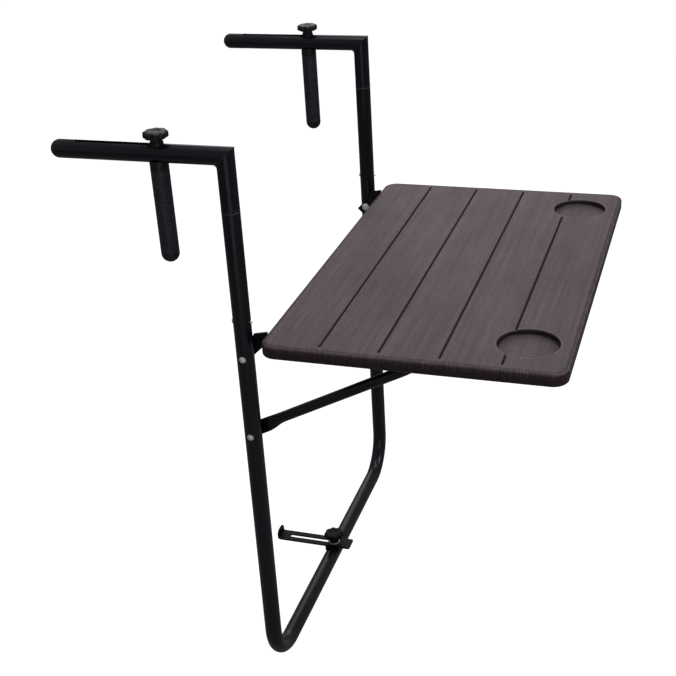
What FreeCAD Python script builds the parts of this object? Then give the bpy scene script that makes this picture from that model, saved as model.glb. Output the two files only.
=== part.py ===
import FreeCAD, Part
import math
import os
import re

import Sketcher
from FreeCAD import Placement, Rotation, Vector

# A folding bar table that hangs on a balcony railing.
# The origin is the railing seat: x = 0 is the plane of symmetry, y = 0 the back face of the legs,
# z = 0 the underside of the hook arms. +Y points over the railing, -Y to the person at the table.

# Driving dimensions in millimetres and degrees: name, value, what it is
DIMENSIONS = (
    ("tube_outer", 23, "outside of the frame tube"),
    ("tube_inner", 20.6, "bore of the frame tube"),
    ("leg_spacing", 552, "between the two leg axes"),
    ("bend_radius", 60, "foot corner bend, on the tube axis"),
    ("frame_drop", 764, "arm axis down to foot tube axis"),
    ("seam_drop", 68, "arm axis down to the joint in the leg"),
    ("arm_length", 216, "leg axis to the end of the arm tube"),
    ("spigot_length", 160, "part of the hook tube inside the leg"),
    ("spigot_wall", 1.3, "wall of the spigot"),
    ("spigot_play", 0.1, "gap around the spigot"),
    ("shoulder_height", 3, "ring where the tube is drawn in to the spigot"),
    ("joint_screw_inset", 13.5, "joint screw above the lower end of the spigot"),
    ("joint_screw_size", 4, "diameter of the joint screw"),
    ("joint_screw_tip", 2.6, "point of the joint screw in front of the leg"),
    ("joint_head_size", 8, "diameter of the joint screw's head"),
    ("joint_head_height", 2.4, "height of the joint screw's head"),
    ("cap_lip", 1.5, "straight rim of a tube cap"),
    ("cap_plug_length", 15, "part of a tube cap inside the tube"),
    ("cap_plug_wall", 2, "wall of that plug"),
    ("cap_play", 0.05, "gap around that plug"),
    ("arm_slot_end", 195.4, "leg axis to the outer end of the arm slot"),
    ("arm_slot_width", 8.6, "width of the arm slot"),
    ("rail_gap", 63.5, "leg to clamp post, the space for the railing"),
    ("post_drop", 115, "arm underside to the lower end of the post tube"),
    ("saddle_height", 8, "post plug between arm and post tube"),
    ("saddle_ear", 3, "post plug's ears beside the arm"),
    ("saddle_plug_length", 24, "part of the post plug inside the tube"),
    ("slide_gap", 0.3, "gap between pieces that slide on each other"),
    ("clamp_bolt", 8, "diameter of the clamp bolt"),
    ("clamp_bolt_reach", 25, "clamp bolt below the arm underside"),
    ("thread_play", 0.1, "gap between bolt and nut"),
    ("nut_flats", 13, "clamp nut across its flats"),
    ("nut_height", 6.5, "height of the clamp nut"),
    ("nut_depth", 9, "arm underside to the top of the clamp nut"),
    ("washer_crown", 1.6, "saddle washer above the arm"),
    ("washer_ear", 2.6, "saddle washer's ears beside the arm"),
    ("washer_size", 17, "diameter of the saddle washer"),
    ("knob_size", 31, "diameter of the clamp knob"),
    ("knob_head", 8.8, "height of the clamp knob's head"),
    ("knob_neck", 15.6, "diameter of the clamp knob's neck"),
    ("knob_neck_height", 5.2, "height of that neck"),
    ("knob_lobes", 8, "lobes of a knob"),
    ("flute_depth", 1.8, "depth of a knob's flutes"),
    ("tabletop_width", 600, "tabletop along the railing"),
    ("tabletop_depth", 380, "tabletop away from the railing"),
    ("tabletop_thickness", 18, "tabletop at its rim"),
    ("tabletop_skin", 3.5, "wall under the top face"),
    ("tabletop_wall", 3, "wall of the rim"),
    ("tabletop_drop", 222.5, "arm underside down to the tabletop"),
    ("corner_radius", 20, "tabletop corners seen from above"),
    ("top_round", 4, "rounding of the upper rim"),
    ("bottom_round", 2.5, "rounding of the lower rim"),
    ("rear_gap", 15.5, "leg front to the tabletop's rear edge"),
    ("groove_first", 77, "rear edge to the first groove"),
    ("groove_pitch", 75, "between grooves"),
    ("groove_count", 4, "number of grooves"),
    ("groove_width", 3, "width of a groove"),
    ("groove_depth", 1.6, "depth of a groove"),
    ("groove_margin", 11.7, "groove end to the tabletop's side"),
    ("rib_width", 2, "ribs under the tabletop"),
    ("rib_recess", 1.5, "ribs end above the underside"),
    ("cross_rib_pitch", 100, "between the ribs that run front to back"),
    ("cross_rib_count", 5, "number of those ribs"),
    ("cup_size", 76.8, "diameter of a cup recess"),
    ("cup_depth", 8, "depth of a cup recess"),
    ("cup_floor_round", 2, "rounding at the floor of a cup recess"),
    ("cup_spacing", 456, "between the two cup recesses"),
    ("cup_setback", 323, "rear edge to the middle of a cup recess"),
    ("hinge_drop", 30, "tabletop face down to the hinge pivot"),
    ("brace_drop", 114, "hinge pivot down to the brace pivot"),
    ("rivet_size", 6, "diameter of a pivot rivet"),
    ("rivet_play", 0.08, "gap between rivet and hinge plate"),
    ("rivet_outer_head", 9, "diameter of the rivet's outer head"),
    ("rivet_inner_head", 12, "diameter of the rivet's inner head"),
    ("rivet_head_height", 2.8, "height of both heads"),
    ("rivet_seat", 0.9, "flat sunk in the tube under the outer head"),
    ("pivot_washer_size", 14, "diameter of a pivot washer"),
    ("pivot_washer_thick", 1, "thickness of a pivot washer"),
    ("pivot_play", 0.15, "side play at a pivot"),
    ("plate_thick", 3, "hinge plate and flattened brace end"),
    ("plate_width", 15, "hinge plate across"),
    ("plate_tail", 12.5, "hinge plate beyond the pivot"),
    ("plate_reach", 90, "length of the hinge plate inside the tabletop"),
    ("plate_fit", 0.3, "gap around the plate in the tabletop's rim"),
    ("flange_width", 26, "hinge bracket's flange, with the plate"),
    ("flange_start", 8, "rear edge to the flange"),
    ("bracket_screw_count", 3, "screws in a hinge bracket"),
    ("bracket_screw_first", 18, "rear edge to the first of them"),
    ("bracket_screw_pitch", 30, "between them"),
    ("screw_size", 4, "diameter of a wood-type screw"),
    ("screw_head", 8, "diameter of its head"),
    ("screw_head_height", 2.4, "height of its head"),
    ("screw_length", 12, "length of its shank"),
    ("boss_size", 10, "screw bosses under the tabletop"),
    ("brace_outer", 14, "outside of the brace tube"),
    ("brace_inner", 11.6, "bore of the brace tube"),
    ("brace_bend", 32, "brace corner bend, on the tube axis"),
    ("brace_reach", 200, "rear edge to the brace's cross tube"),
    ("brace_gap", 0.5, "cross tube to the underside"),
    ("brace_flat_width", 20, "flattened brace end across"),
    ("brace_flat_length", 15, "flattened brace end beyond the pivot"),
    ("brace_taper", 26, "from the flattened end to the round tube"),
    ("catch_spacing", 300, "between the two brace catches"),
    ("catch_width", 24, "brace catch along the cross tube"),
    ("catch_length", 48, "brace catch's base front to back"),
    ("catch_base", 3.5, "thickness of that base"),
    ("catch_wall", 3.2, "wall of the catch's hook"),
    ("catch_play", 0.4, "gap around the cross tube"),
    ("catch_wrap", 58, "how far the hook goes under the tube, degrees"),
    ("catch_lip_depth", 3.3, "stop in front of the cross tube"),
    ("catch_lip_start", 9.4, "cross tube axis to that stop"),
    ("catch_lip_length", 4, "that stop front to back"),
    ("catch_screw_spacing", 36, "between the two screws of a catch"),
    ("hook_bolt", 6, "diameter of the rail hook's bolt"),
    ("hook_bolt_head", 12, "diameter of that bolt's head"),
    ("hook_bolt_head_height", 2.6, "height of that head"),
    ("hook_saddle_crown", 1.5, "saddle block above the foot tube"),
    ("hook_saddle_skirt", 6, "saddle block down beside the foot tube"),
    ("hook_width", 25, "rail hook strip across"),
    ("hook_thick", 2.5, "rail hook strip's thickness"),
    ("hook_front", 29, "foot tube axis to the strip's front end"),
    ("hook_reach", 94, "foot tube axis to the strip's upturned end"),
    ("hook_tab", 13, "upturned end above the strip"),
    ("hook_tab_corner", 8, "rounded corners of the upturned end"),
    ("hook_front_corner", 3, "rounded corners of the front end"),
    ("hook_bend_round", 2, "inside rounding of the strip's bend"),
    ("hook_slot_width", 6.6, "width of the strip's slot"),
    ("hook_slot_end", 76, "foot tube axis to the slot's far end"),
    ("hook_washer_size", 18, "diameter of the flat washer"),
    ("hook_washer_thick", 1.2, "thickness of the flat washer"),
    ("hook_knob_size", 31, "diameter of the hook knob"),
    ("hook_knob_head", 8.8, "height of the hook knob's head"),
    ("hook_knob_neck", 15.6, "diameter of the hook knob's neck"),
    ("hook_knob_neck_height", 8.4, "height of that neck"),
    ("insert_size", 9, "diameter of the hook knob's insert"),
    ("insert_height", 10, "height of that insert"),
)

# Places worked out from the dimensions
TUBE_RADIUS = "(tube_outer / 2)"
BORE_RADIUS = "(tube_inner / 2)"
LEG_X = "(leg_spacing / 2)"
LEG_Y = "(-tube_outer / 2)"
ARM_Z = "(tube_outer / 2)"
FOOT_Z = "(tube_outer / 2 - frame_drop)"
SEAM_Z = "(tube_outer / 2 - seam_drop)"
JOINT_SCREW_Z = f"({SEAM_Z} - spigot_length + joint_screw_inset)"
POST_Y = "(rail_gap + tube_outer / 2)"
ARM_SLOT_START = f"(rail_gap + tube_outer - arm_slot_width / 2)"
TABLE_Y = "(-tube_outer - rear_gap)"
TABLE_Z = "(-tabletop_drop)"
UNDERSIDE_Z = f"({TABLE_Z} - tabletop_thickness)"
HINGE_Z = f"({TABLE_Z} - hinge_drop)"
BRACE_Z = f"({HINGE_Z} - brace_drop)"
CROSS_Y = f"({TABLE_Y} - brace_reach)"
CROSS_Z = f"({UNDERSIDE_Z} - brace_gap - brace_outer / 2)"
LEG_INNER_X = f"({LEG_X} - {TUBE_RADIUS})"
PLATE_X = f"({LEG_INNER_X} - pivot_washer_thick - pivot_play)"
INNER_HEAD_X = f"({PLATE_X} - plate_thick - pivot_play)"
BRACE_X = f"({PLATE_X} - brace_outer / 2)"
BRACE_LENGTH = f"sqrt(({CROSS_Y} - {LEG_Y})^2 + ({CROSS_Z} - {BRACE_Z})^2)"
BRACE_RISE = f"atan(({CROSS_Z} - {BRACE_Z}) / ({LEG_Y} - {CROSS_Y}))"
ARM_TOP_Z = "tube_outer"
WASHER_TOP_Z = f"({ARM_TOP_Z} + slide_gap + washer_crown)"
KNOB_Z = f"({WASHER_TOP_Z} + pivot_play)"
FOOT_TOP_Z = f"({FOOT_Z} + {TUBE_RADIUS})"
HOOK_SADDLE_TOP_Z = f"({FOOT_TOP_Z} + hook_saddle_crown)"
HOOK_STRIP_Z = f"({HOOK_SADDLE_TOP_Z} + slide_gap)"
HOOK_WASHER_Z = f"({HOOK_STRIP_Z} + hook_thick + slide_gap)"
HOOK_KNOB_Z = f"({HOOK_WASHER_Z} + hook_washer_thick + pivot_play)"

SIDES = (("left", -1), ("right", 1))

document = FreeCAD.newDocument("BalconyBarTable")
sheet = document.addObject("Spreadsheet::Sheet", "Sizes")
for row, (name, size, meaning) in enumerate(DIMENSIONS, start=1):
    sheet.set(f"A{row}", name)
    sheet.set(f"B{row}", str(size))
    sheet.set(f"C{row}", meaning)
    sheet.setAlias(f"B{row}", name)
document.recompute()

NAMES = {name for name, size, meaning in DIMENSIONS}
nodes = []


def bind(item, path, expression):
    """Tie one value of an object to an expression in the names of the sheet."""
    linked = re.sub(r"[a-z_]+", lambda word: ("Sizes." if word[0] in NAMES else "") + word[0], str(expression))
    item.setExpression(path, linked)


def value(expression):
    """The number that an expression in the names of the sheet comes to now."""
    result = sheet.evalExpression(str(expression))
    return float(getattr(result, "Value", result))


def place(item, x=0, y=0, z=0, turn=None):
    """Put an object at a bound place, with its axes turned by a fixed rotation."""
    item.Placement = Placement(Vector(), turn or Rotation())
    for axis, expression in zip("xyz", (x, y, z)):
        bind(item, f"Placement.Base.{axis}", expression)


def new_body(label):
    """An empty body for one piece."""
    body = document.addObject("PartDesign::Body", label)
    body.Label = label
    return body


def keep(item):
    """List a finished piece as a node of the table."""
    nodes.append(item)
    return item


def origin_feature(body, role):
    """One of the body's own planes or axes."""
    return next(feature for feature in body.Origin.OriginFeatures if feature.Role == role)


def sketch_on(body, role, name, offset=0):
    """An empty sketch on one of the body's planes, at a bound distance along its normal."""
    sketch = body.newObject("Sketcher::SketchObject", name)
    sketch.AttachmentSupport = [(origin_feature(body, role), "")]
    sketch.MapMode = "FlatFace"
    bind(sketch, "AttachmentOffset.Base.z", offset)
    return sketch


def constrain(sketch, kind, *terms):
    """Add a dimension to a sketch and bind it; the last term is its expression."""
    *where, expression = terms
    index = sketch.addConstraint(Sketcher.Constraint(kind, *where, value(expression)))
    bind(sketch, f"Constraints[{index}]", expression)


def fix_point(sketch, geometry, point, u, v):
    """Hold a point of a sketch at a bound place."""
    constrain(sketch, "DistanceX", -1, 1, geometry, point, u)
    constrain(sketch, "DistanceY", -1, 1, geometry, point, v)


def add_circle(sketch, u, v, radius):
    """A circle with a bound centre and radius."""
    circle = Part.Circle(Vector(value(u), value(v), 0), Vector(0, 0, 1), value(radius))
    index = sketch.addGeometry(circle)
    constrain(sketch, "Radius", index, radius)
    fix_point(sketch, index, 3, u, v)


def add_outline(sketch, corners, arcs=None, closed=True):
    """Lines between bound corners; arcs gives, by the edge's number, a radius and the centre's side.

    The side is +1 where the arc's centre lies to the left of the way along the outline.
    """
    arcs = arcs or {}
    points = [Vector(value(u), value(v), 0) for u, v in corners]
    count = len(corners) if closed else len(corners) - 1
    ends = []
    for edge in range(count):
        start, end = points[edge], points[(edge + 1) % len(points)]
        if edge in arcs:
            radius, side = arcs[edge]
            chord = end - start
            reach = math.sqrt(max(value(radius) ** 2 - chord.Length ** 2 / 4, 0))
            normal = Vector(-chord.y, chord.x, 0).normalize()
            centre = (start + end) / 2 + normal * reach * side
            first, last = (start, end) if side > 0 else (end, start)
            angles = [math.atan2(point.y - centre.y, point.x - centre.x) for point in (first, last)]
            circle = Part.Circle(centre, Vector(0, 0, 1), value(radius))
            index = sketch.addGeometry(Part.ArcOfCircle(circle, *angles))
            constrain(sketch, "Radius", index, radius)
            ends.append((index, 1, 2) if side > 0 else (index, 2, 1))
        else:
            index = sketch.addGeometry(Part.LineSegment(start, end))
            ends.append((index, 1, 2))
        fix_point(sketch, index, ends[-1][1], *corners[edge])
    for edge in range(1, count):
        sketch.addConstraint(
            Sketcher.Constraint("Coincident", ends[edge - 1][0], ends[edge - 1][2], ends[edge][0], ends[edge][1])
        )
    if closed:
        sketch.addConstraint(Sketcher.Constraint("Coincident", ends[-1][0], ends[-1][2], ends[0][0], ends[0][1]))
    else:
        fix_point(sketch, ends[-1][0], ends[-1][2], *corners[-1])


def add_rectangle(sketch, u_low, u_high, v_low, v_high):
    """A rectangle between bound sides."""
    add_outline(sketch, [(u_low, v_low), (u_high, v_low), (u_high, v_high), (u_low, v_high)])


def add_slot(sketch, v_low, v_high, u, radius):
    """A slot with round ends that runs along the sketch's second axis."""
    centre_u, width = value(u), value(radius)
    low, high = value(v_low), value(v_high)
    across = Vector(width, 0, 0)
    top = Part.ArcOfCircle(Part.Circle(Vector(centre_u, high, 0), Vector(0, 0, 1), width), 0, math.pi)
    bottom = Part.ArcOfCircle(Part.Circle(Vector(centre_u, low, 0), Vector(0, 0, 1), width), math.pi, 2 * math.pi)
    top_index = sketch.addGeometry(top)
    bottom_index = sketch.addGeometry(bottom)
    left_index = sketch.addGeometry(
        Part.LineSegment(Vector(centre_u, high, 0) - across, Vector(centre_u, low, 0) - across)
    )
    right_index = sketch.addGeometry(
        Part.LineSegment(Vector(centre_u, low, 0) + across, Vector(centre_u, high, 0) + across)
    )
    for index, level in ((top_index, v_high), (bottom_index, v_low)):
        constrain(sketch, "Radius", index, radius)
        fix_point(sketch, index, 3, u, level)
    joints = (
        (top_index, 2, left_index, 1),
        (left_index, 2, bottom_index, 1),
        (bottom_index, 2, right_index, 1),
        (right_index, 2, top_index, 1),
    )
    for joint in joints:
        sketch.addConstraint(Sketcher.Constraint("Tangent", *joint))


def add_ring(sketch, u, v, outer, inner):
    """Two circles about one centre."""
    add_circle(sketch, u, v, outer)
    add_circle(sketch, u, v, inner)


def pad(body, sketch, length, back=False, both=False):
    """Add material from a sketch, along its normal, against it or both ways."""
    feature = body.newObject("PartDesign::Pad", f"{sketch.Name}_pad")
    feature.Profile = sketch
    bind(feature, "Length", length)
    feature.Reversed = back
    if both:
        feature.SideType = "Symmetric"
    document.recompute()
    return feature


def pocket(body, sketch, length=None, up=False, both=False):
    """Cut material from a sketch, against its normal, along it or both ways; no length cuts right through."""
    before = body.Shape.Volume
    feature = body.newObject("PartDesign::Pocket", f"{sketch.Name}_pocket")
    feature.Profile = sketch
    if length is None:
        feature.Type = "ThroughAll"
    else:
        bind(feature, "Length", length)
    feature.Reversed = up
    if both:
        feature.SideType = "Symmetric"
    document.recompute()
    if not body.Shape.Volume < before:
        raise ValueError(f"{body.Label}: {feature.Name} cuts nothing")
    return feature


def revolve(body, sketch, cut=False):
    """Turn a sketch on the XZ plane once around the body's Z axis."""
    kind = "PartDesign::Groove" if cut else "PartDesign::Revolution"
    feature = body.newObject(kind, f"{sketch.Name}_turned")
    feature.Profile = sketch
    feature.ReferenceAxis = (origin_feature(body, "Z_Axis"), [""])
    feature.Angle = 360
    document.recompute()
    return feature


def polar_copies(body, feature, count):
    """Repeat a feature evenly around the body's Z axis."""
    pattern = body.newObject("PartDesign::PolarPattern", f"{feature.Name}_copies")
    pattern.Originals = [feature]
    pattern.Axis = (origin_feature(body, "Z_Axis"), [""])
    pattern.Angle = 360
    bind(pattern, "Occurrences", count)
    body.Tip = pattern
    document.recompute()


def row_copies(body, feature, role, pitch, count, back=False):
    """Repeat a feature in a row along one of the body's axes."""
    pattern = body.newObject("PartDesign::LinearPattern", f"{feature.Name}_copies")
    pattern.Originals = [feature]
    pattern.Direction = (origin_feature(body, role), [""])
    pattern.Reversed = back
    bind(pattern, "Length", f"{pitch} * ({count} - 1)")
    bind(pattern, "Occurrences", count)
    body.Tip = pattern
    document.recompute()


def round_edges(body, name, radius, chosen):
    """Round the edges of the body's last feature for which chosen(edge) is true."""
    base = body.Tip
    edges = [f"Edge{number}" for number, edge in enumerate(base.Shape.Edges, start=1) if chosen(edge)]
    feature = body.newObject("PartDesign::Fillet", name)
    feature.Base = (base, edges)
    bind(feature, "Radius", radius)
    document.recompute()
    return feature


def edge_is_at(edge, axis, level):
    """True for an edge that lies whole in the plane where one coordinate has the given value."""
    box = edge.BoundBox
    low, high = getattr(box, f"{axis}Min"), getattr(box, f"{axis}Max")
    return abs(low - level) < 0.01 and abs(high - level) < 0.01


def turned_piece(label, corners, arcs=None):
    """A round piece about its own Z axis; corners are radius and height."""
    body = new_body(label)
    sketch = sketch_on(body, "XZ_Plane", f"{label}_section")
    add_outline(sketch, corners, arcs)
    document.recompute()
    revolve(body, sketch)
    return body


def group(label, pieces):
    """One node that holds several alike pieces as separate solids."""
    compound = document.addObject("Part::Compound", label)
    compound.Label = label
    compound.Links = pieces
    return keep(compound)


def make_lower_frame():
    """The legs and foot tube: one tube with two bends, drilled for rivets, screws and the hook's bolt."""
    body = new_body("lower_frame")
    place(body, 0, LEG_Y, FOOT_Z)
    top = f"({SEAM_Z} - {FOOT_Z})"
    ring = sketch_on(body, "XY_Plane", "frame_ring", top)
    add_ring(ring, f"-{LEG_X}", 0, TUBE_RADIUS, BORE_RADIUS)
    path = sketch_on(body, "XZ_Plane", "frame_path")
    corners = [
        (f"-{LEG_X}", top),
        (f"-{LEG_X}", "bend_radius"),
        (f"bend_radius - {LEG_X}", 0),
        (f"{LEG_X} - bend_radius", 0),
        (LEG_X, "bend_radius"),
        (LEG_X, top),
    ]
    add_outline(path, corners, {1: ("bend_radius", 1), 3: ("bend_radius", 1)}, closed=False)
    document.recompute()
    pipe = body.newObject("PartDesign::AdditivePipe", "frame_tube")
    pipe.Profile = ring
    pipe.Spine = (path, [])
    document.recompute()

    pivots = sketch_on(body, "YZ_Plane", "pivot_holes")
    seats = [sketch_on(body, "YZ_Plane", f"rivet_seats_{side}", f"{sign} * ({LEG_X} + tube_outer)")
             for side, sign in SIDES]
    for level in (HINGE_Z, BRACE_Z):
        add_circle(pivots, 0, f"{level} - {FOOT_Z}", "rivet_size / 2")
        for seat in seats:
            add_circle(seat, 0, f"{level} - {FOOT_Z}", "rivet_outer_head / 2")
    document.recompute()
    pocket(body, pivots, both=True)
    for seat, (side, sign) in zip(seats, SIDES):
        pocket(body, seat, f"{TUBE_RADIUS} + rivet_seat", up=sign < 0)

    screws = sketch_on(body, "XZ_Plane", "joint_screw_holes")
    screw_seat = sketch_on(body, "XZ_Plane", "joint_screw_seats", "-tube_outer")
    for side, sign in SIDES:
        add_circle(screws, f"{sign} * {LEG_X}", f"{JOINT_SCREW_Z} - {FOOT_Z}", "joint_screw_size / 2")
        add_circle(screw_seat, f"{sign} * {LEG_X}", f"{JOINT_SCREW_Z} - {FOOT_Z}", "joint_head_size / 2")
    document.recompute()
    pocket(body, screws, both=True)
    pocket(body, screw_seat, f"{TUBE_RADIUS} + joint_head_height / 4", up=True)

    bolt = sketch_on(body, "XY_Plane", "hook_bolt_hole", "-tube_outer")
    add_circle(bolt, 0, 0, "hook_bolt / 2")
    document.recompute()
    pocket(body, bolt, "tube_outer * 2", up=True)
    return keep(body)


def make_hook_tube(side, sign):
    """Arm and upper leg with a mitred corner, a slot for the clamp and a spigot that enters the leg."""
    body = new_body(f"hook_tube_{side}")
    place(body, f"{sign} * {LEG_X}", LEG_Y, ARM_Z)
    ring = sketch_on(body, "XY_Plane", f"hook_ring_{side}", "-seam_drop")
    add_ring(ring, 0, 0, TUBE_RADIUS, BORE_RADIUS)
    path = sketch_on(body, "YZ_Plane", f"hook_path_{side}")
    add_outline(path, [(0, "-seam_drop"), (0, 0), ("arm_length", 0)], closed=False)
    document.recompute()
    pipe = body.newObject("PartDesign::AdditivePipe", f"hook_pipe_{side}")
    pipe.Profile = ring
    pipe.Spine = (path, [])
    pipe.Transition = "Right corner"
    document.recompute()

    spigot_radius = f"{BORE_RADIUS} - spigot_play"
    shoulder = sketch_on(body, "XY_Plane", f"shoulder_{side}", "-seam_drop")
    add_ring(shoulder, 0, 0, TUBE_RADIUS, f"{spigot_radius} - spigot_wall")
    document.recompute()
    pad(body, shoulder, "shoulder_height")
    spigot = sketch_on(body, "XY_Plane", f"spigot_{side}", "-seam_drop")
    add_ring(spigot, 0, 0, spigot_radius, f"{spigot_radius} - spigot_wall")
    document.recompute()
    pad(body, spigot, "spigot_length", back=True)

    slot = sketch_on(body, "XY_Plane", f"arm_slot_{side}", "tube_outer")
    add_slot(
        slot,
        f"{ARM_SLOT_START} + arm_slot_width / 2",
        "arm_slot_end - arm_slot_width / 2",
        0,
        "arm_slot_width / 2",
    )
    screw = sketch_on(body, "XZ_Plane", f"spigot_hole_{side}")
    add_circle(screw, 0, f"{JOINT_SCREW_Z} - {ARM_Z}", "joint_screw_size / 2")
    document.recompute()
    pocket(body, slot, "tube_outer * 2")
    pocket(body, screw, both=True)
    return keep(body)


def make_tube_cap(label):
    """A domed cap with a hollow plug, standing on the end of a tube whose axis is Z."""
    plug = f"{BORE_RADIUS} - cap_play"
    corners = [
        (f"{plug} - cap_plug_wall", "-cap_plug_length"),
        (plug, "-cap_plug_length"),
        (plug, 0),
        (TUBE_RADIUS, 0),
        (TUBE_RADIUS, "cap_lip"),
        (0, f"cap_lip + {TUBE_RADIUS}"),
        (0, "cap_lip"),
        (f"{plug} - cap_plug_wall", "cap_lip"),
    ]
    return keep(turned_piece(label, corners, {4: (TUBE_RADIUS, 1)}))


def make_joint_screws():
    """The screws that hold hook tubes and legs together, from behind, with their points in front."""
    seat = "joint_head_height / 4"
    corners = [
        (0, "-tube_outer - joint_screw_tip"),
        ("joint_screw_size / 6", "-tube_outer - joint_screw_tip"),
        ("joint_screw_size / 2", "-tube_outer"),
        ("joint_screw_size / 2", f"-{seat}"),
        ("joint_head_size / 2", f"-{seat}"),
        ("joint_head_size / 2", f"joint_head_height / 3 - {seat}"),
        ("joint_head_size / 3", f"joint_head_height - {seat}"),
        (0, f"joint_head_height - {seat}"),
    ]
    screws = []
    for side, sign in SIDES:
        screw = turned_piece(f"joint_screw_{side}", corners)
        place(screw, f"{sign} * {LEG_X}", 0, JOINT_SCREW_Z, Rotation(Vector(1, 0, 0), -90))
        screws.append(screw)
    return group("joint_screws", screws)


def make_pivot_rivets():
    """Four rivets through legs and plates: a smaller dome outside the leg, a larger one inside."""
    inner = f"({INNER_HEAD_X} - {LEG_X})"
    outer = f"({TUBE_RADIUS} - rivet_seat)"
    dome = "((({0} / 2)^2 + rivet_head_height^2) / (2 * rivet_head_height))"
    corners = [
        (0, f"{inner} - rivet_head_height"),
        ("rivet_inner_head / 2", inner),
        ("rivet_size / 2", inner),
        ("rivet_size / 2", outer),
        ("rivet_outer_head / 2", outer),
        (0, f"{outer} + rivet_head_height"),
    ]
    arcs = {0: (dome.format("rivet_inner_head"), 1), 4: (dome.format("rivet_outer_head"), 1)}
    rivets = []
    for side, sign in SIDES:
        for purpose, level in (("hinge", HINGE_Z), ("brace", BRACE_Z)):
            rivet = turned_piece(f"{purpose}_rivet_{side}", corners, arcs)
            place(rivet, f"{sign} * {LEG_X}", LEG_Y, level, Rotation(Vector(0, 1, 0), 90 * sign))
            rivets.append(rivet)
    return group("pivot_rivets", rivets)


def make_pivot_washers():
    """Thin washers between the round legs and the flat plates at the four pivots."""
    washers = []
    for side, sign in SIDES:
        for purpose, level in (("hinge", HINGE_Z), ("brace", BRACE_Z)):
            washer = new_body(f"{purpose}_washer_{side}")
            place(washer, f"{sign} * {LEG_INNER_X}", LEG_Y, level)
            ring = sketch_on(washer, "YZ_Plane", f"{purpose}_washer_ring_{side}")
            add_ring(ring, 0, 0, "pivot_washer_size / 2", "rivet_size / 2")
            document.recompute()
            pad(washer, ring, "pivot_washer_thick", back=sign > 0)
            washers.append(washer)
    return group("pivot_washers", washers)


def make_post_tube(side, sign):
    """The tube of a clamp post."""
    body = new_body(f"post_tube_{side}")
    place(body, f"{sign} * {LEG_X}", POST_Y, "-post_drop")
    ring = sketch_on(body, "XY_Plane", f"post_ring_{side}")
    add_ring(ring, 0, 0, TUBE_RADIUS, BORE_RADIUS)
    document.recompute()
    pad(body, ring, "post_drop - saddle_height")
    return keep(body)


def make_post_plug(side, sign):
    """The plug in the top of a post: a saddle for the arm above, a pocket for the nut below."""
    body = new_body(f"post_plug_{side}")
    place(body, f"{sign} * {LEG_X}", POST_Y, 0)
    collar = sketch_on(body, "XY_Plane", f"plug_collar_{side}", "-saddle_height")
    add_circle(collar, 0, 0, TUBE_RADIUS)
    stem = sketch_on(body, "XY_Plane", f"plug_stem_{side}", "-saddle_height")
    add_circle(stem, 0, 0, f"{BORE_RADIUS} - cap_play")
    document.recompute()
    pad(body, collar, "saddle_height + saddle_ear")
    pad(body, stem, "saddle_plug_length", back=True)
    arm = sketch_on(body, "XZ_Plane", f"plug_arm_{side}")
    add_circle(arm, 0, ARM_Z, f"{TUBE_RADIUS} + slide_gap")
    bolt = sketch_on(body, "XY_Plane", f"plug_bolt_{side}", "saddle_ear + 1")
    add_circle(bolt, 0, 0, "arm_slot_width / 2")
    seat = sketch_on(body, "XY_Plane", f"plug_nut_{side}", "-saddle_height - saddle_plug_length")
    add_hexagon(seat, "nut_flats")
    document.recompute()
    pocket(body, arm, both=True)
    pocket(body, bolt)
    pocket(body, seat, "saddle_height + saddle_plug_length - nut_depth", up=True)
    return keep(body)


def add_hexagon(sketch, flats):
    """A hexagon about the sketch's origin, given across its flats."""
    corner_radius = f"{flats} / sqrt(3)"
    corners = [(f"{corner_radius} * cos({60 * step})", f"{corner_radius} * sin({60 * step})") for step in range(6)]
    add_outline(sketch, corners)


def make_clamp_nut(side, sign):
    """The nut in a post plug."""
    body = new_body(f"clamp_nut_{side}")
    place(body, f"{sign} * {LEG_X}", POST_Y, "-nut_depth - nut_height")
    hexagon = sketch_on(body, "XY_Plane", f"nut_outline_{side}")
    add_hexagon(hexagon, "nut_flats")
    add_circle(hexagon, 0, 0, "clamp_bolt / 2 + thread_play")
    document.recompute()
    pad(body, hexagon, "nut_height")
    return keep(body)


def make_saddle_washer(side, sign):
    """The washer between knob and arm, hollowed to the arm below and flat above."""
    body = new_body(f"saddle_washer_{side}")
    place(body, f"{sign} * {LEG_X}", POST_Y, 0)
    disc = sketch_on(body, "XY_Plane", f"washer_disc_{side}", f"{ARM_TOP_Z} - washer_ear")
    add_ring(disc, 0, 0, "washer_size / 2", "arm_slot_width / 2")
    document.recompute()
    pad(body, disc, f"{WASHER_TOP_Z} - {ARM_TOP_Z} + washer_ear")
    arm = sketch_on(body, "XZ_Plane", f"washer_arm_{side}")
    add_circle(arm, 0, ARM_Z, f"{TUBE_RADIUS} + slide_gap")
    document.recompute()
    pocket(body, arm, both=True)
    return keep(body)


def make_fluted_knob(label, size, head, neck, neck_height, bore, bore_depth):
    """A round knob with lobes, standing on its neck, with a blind hole from below."""
    top = f"({neck_height} + {head})"
    corners = [
        (bore, 0),
        (f"{neck} / 2", 0),
        (f"{neck} / 2", neck_height),
        (f"{size} / 2 - {head} / 6", neck_height),
        (f"{size} / 2", f"{neck_height} + {head} / 6"),
        (f"{size} / 2", f"{top} - {head} / 4"),
        (f"{size} / 2 - {head} / 4", top),
        (f"{size} / 5", top),
        (f"{size} / 5 - {head} / 12", f"{top} - {head} / 10"),
        (0, f"{top} - {head} / 10"),
        (0, bore_depth),
        (bore, bore_depth),
    ]
    body = turned_piece(label, corners)
    flute = sketch_on(body, "XY_Plane", f"{label}_flute", f"{top} + 1")
    add_circle(flute, f"{size} / 2 + {size} / 9 - flute_depth", 0, f"{size} / 9")
    document.recompute()
    first = pocket(body, flute)
    polar_copies(body, first, "knob_lobes")
    return keep(body)


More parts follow.
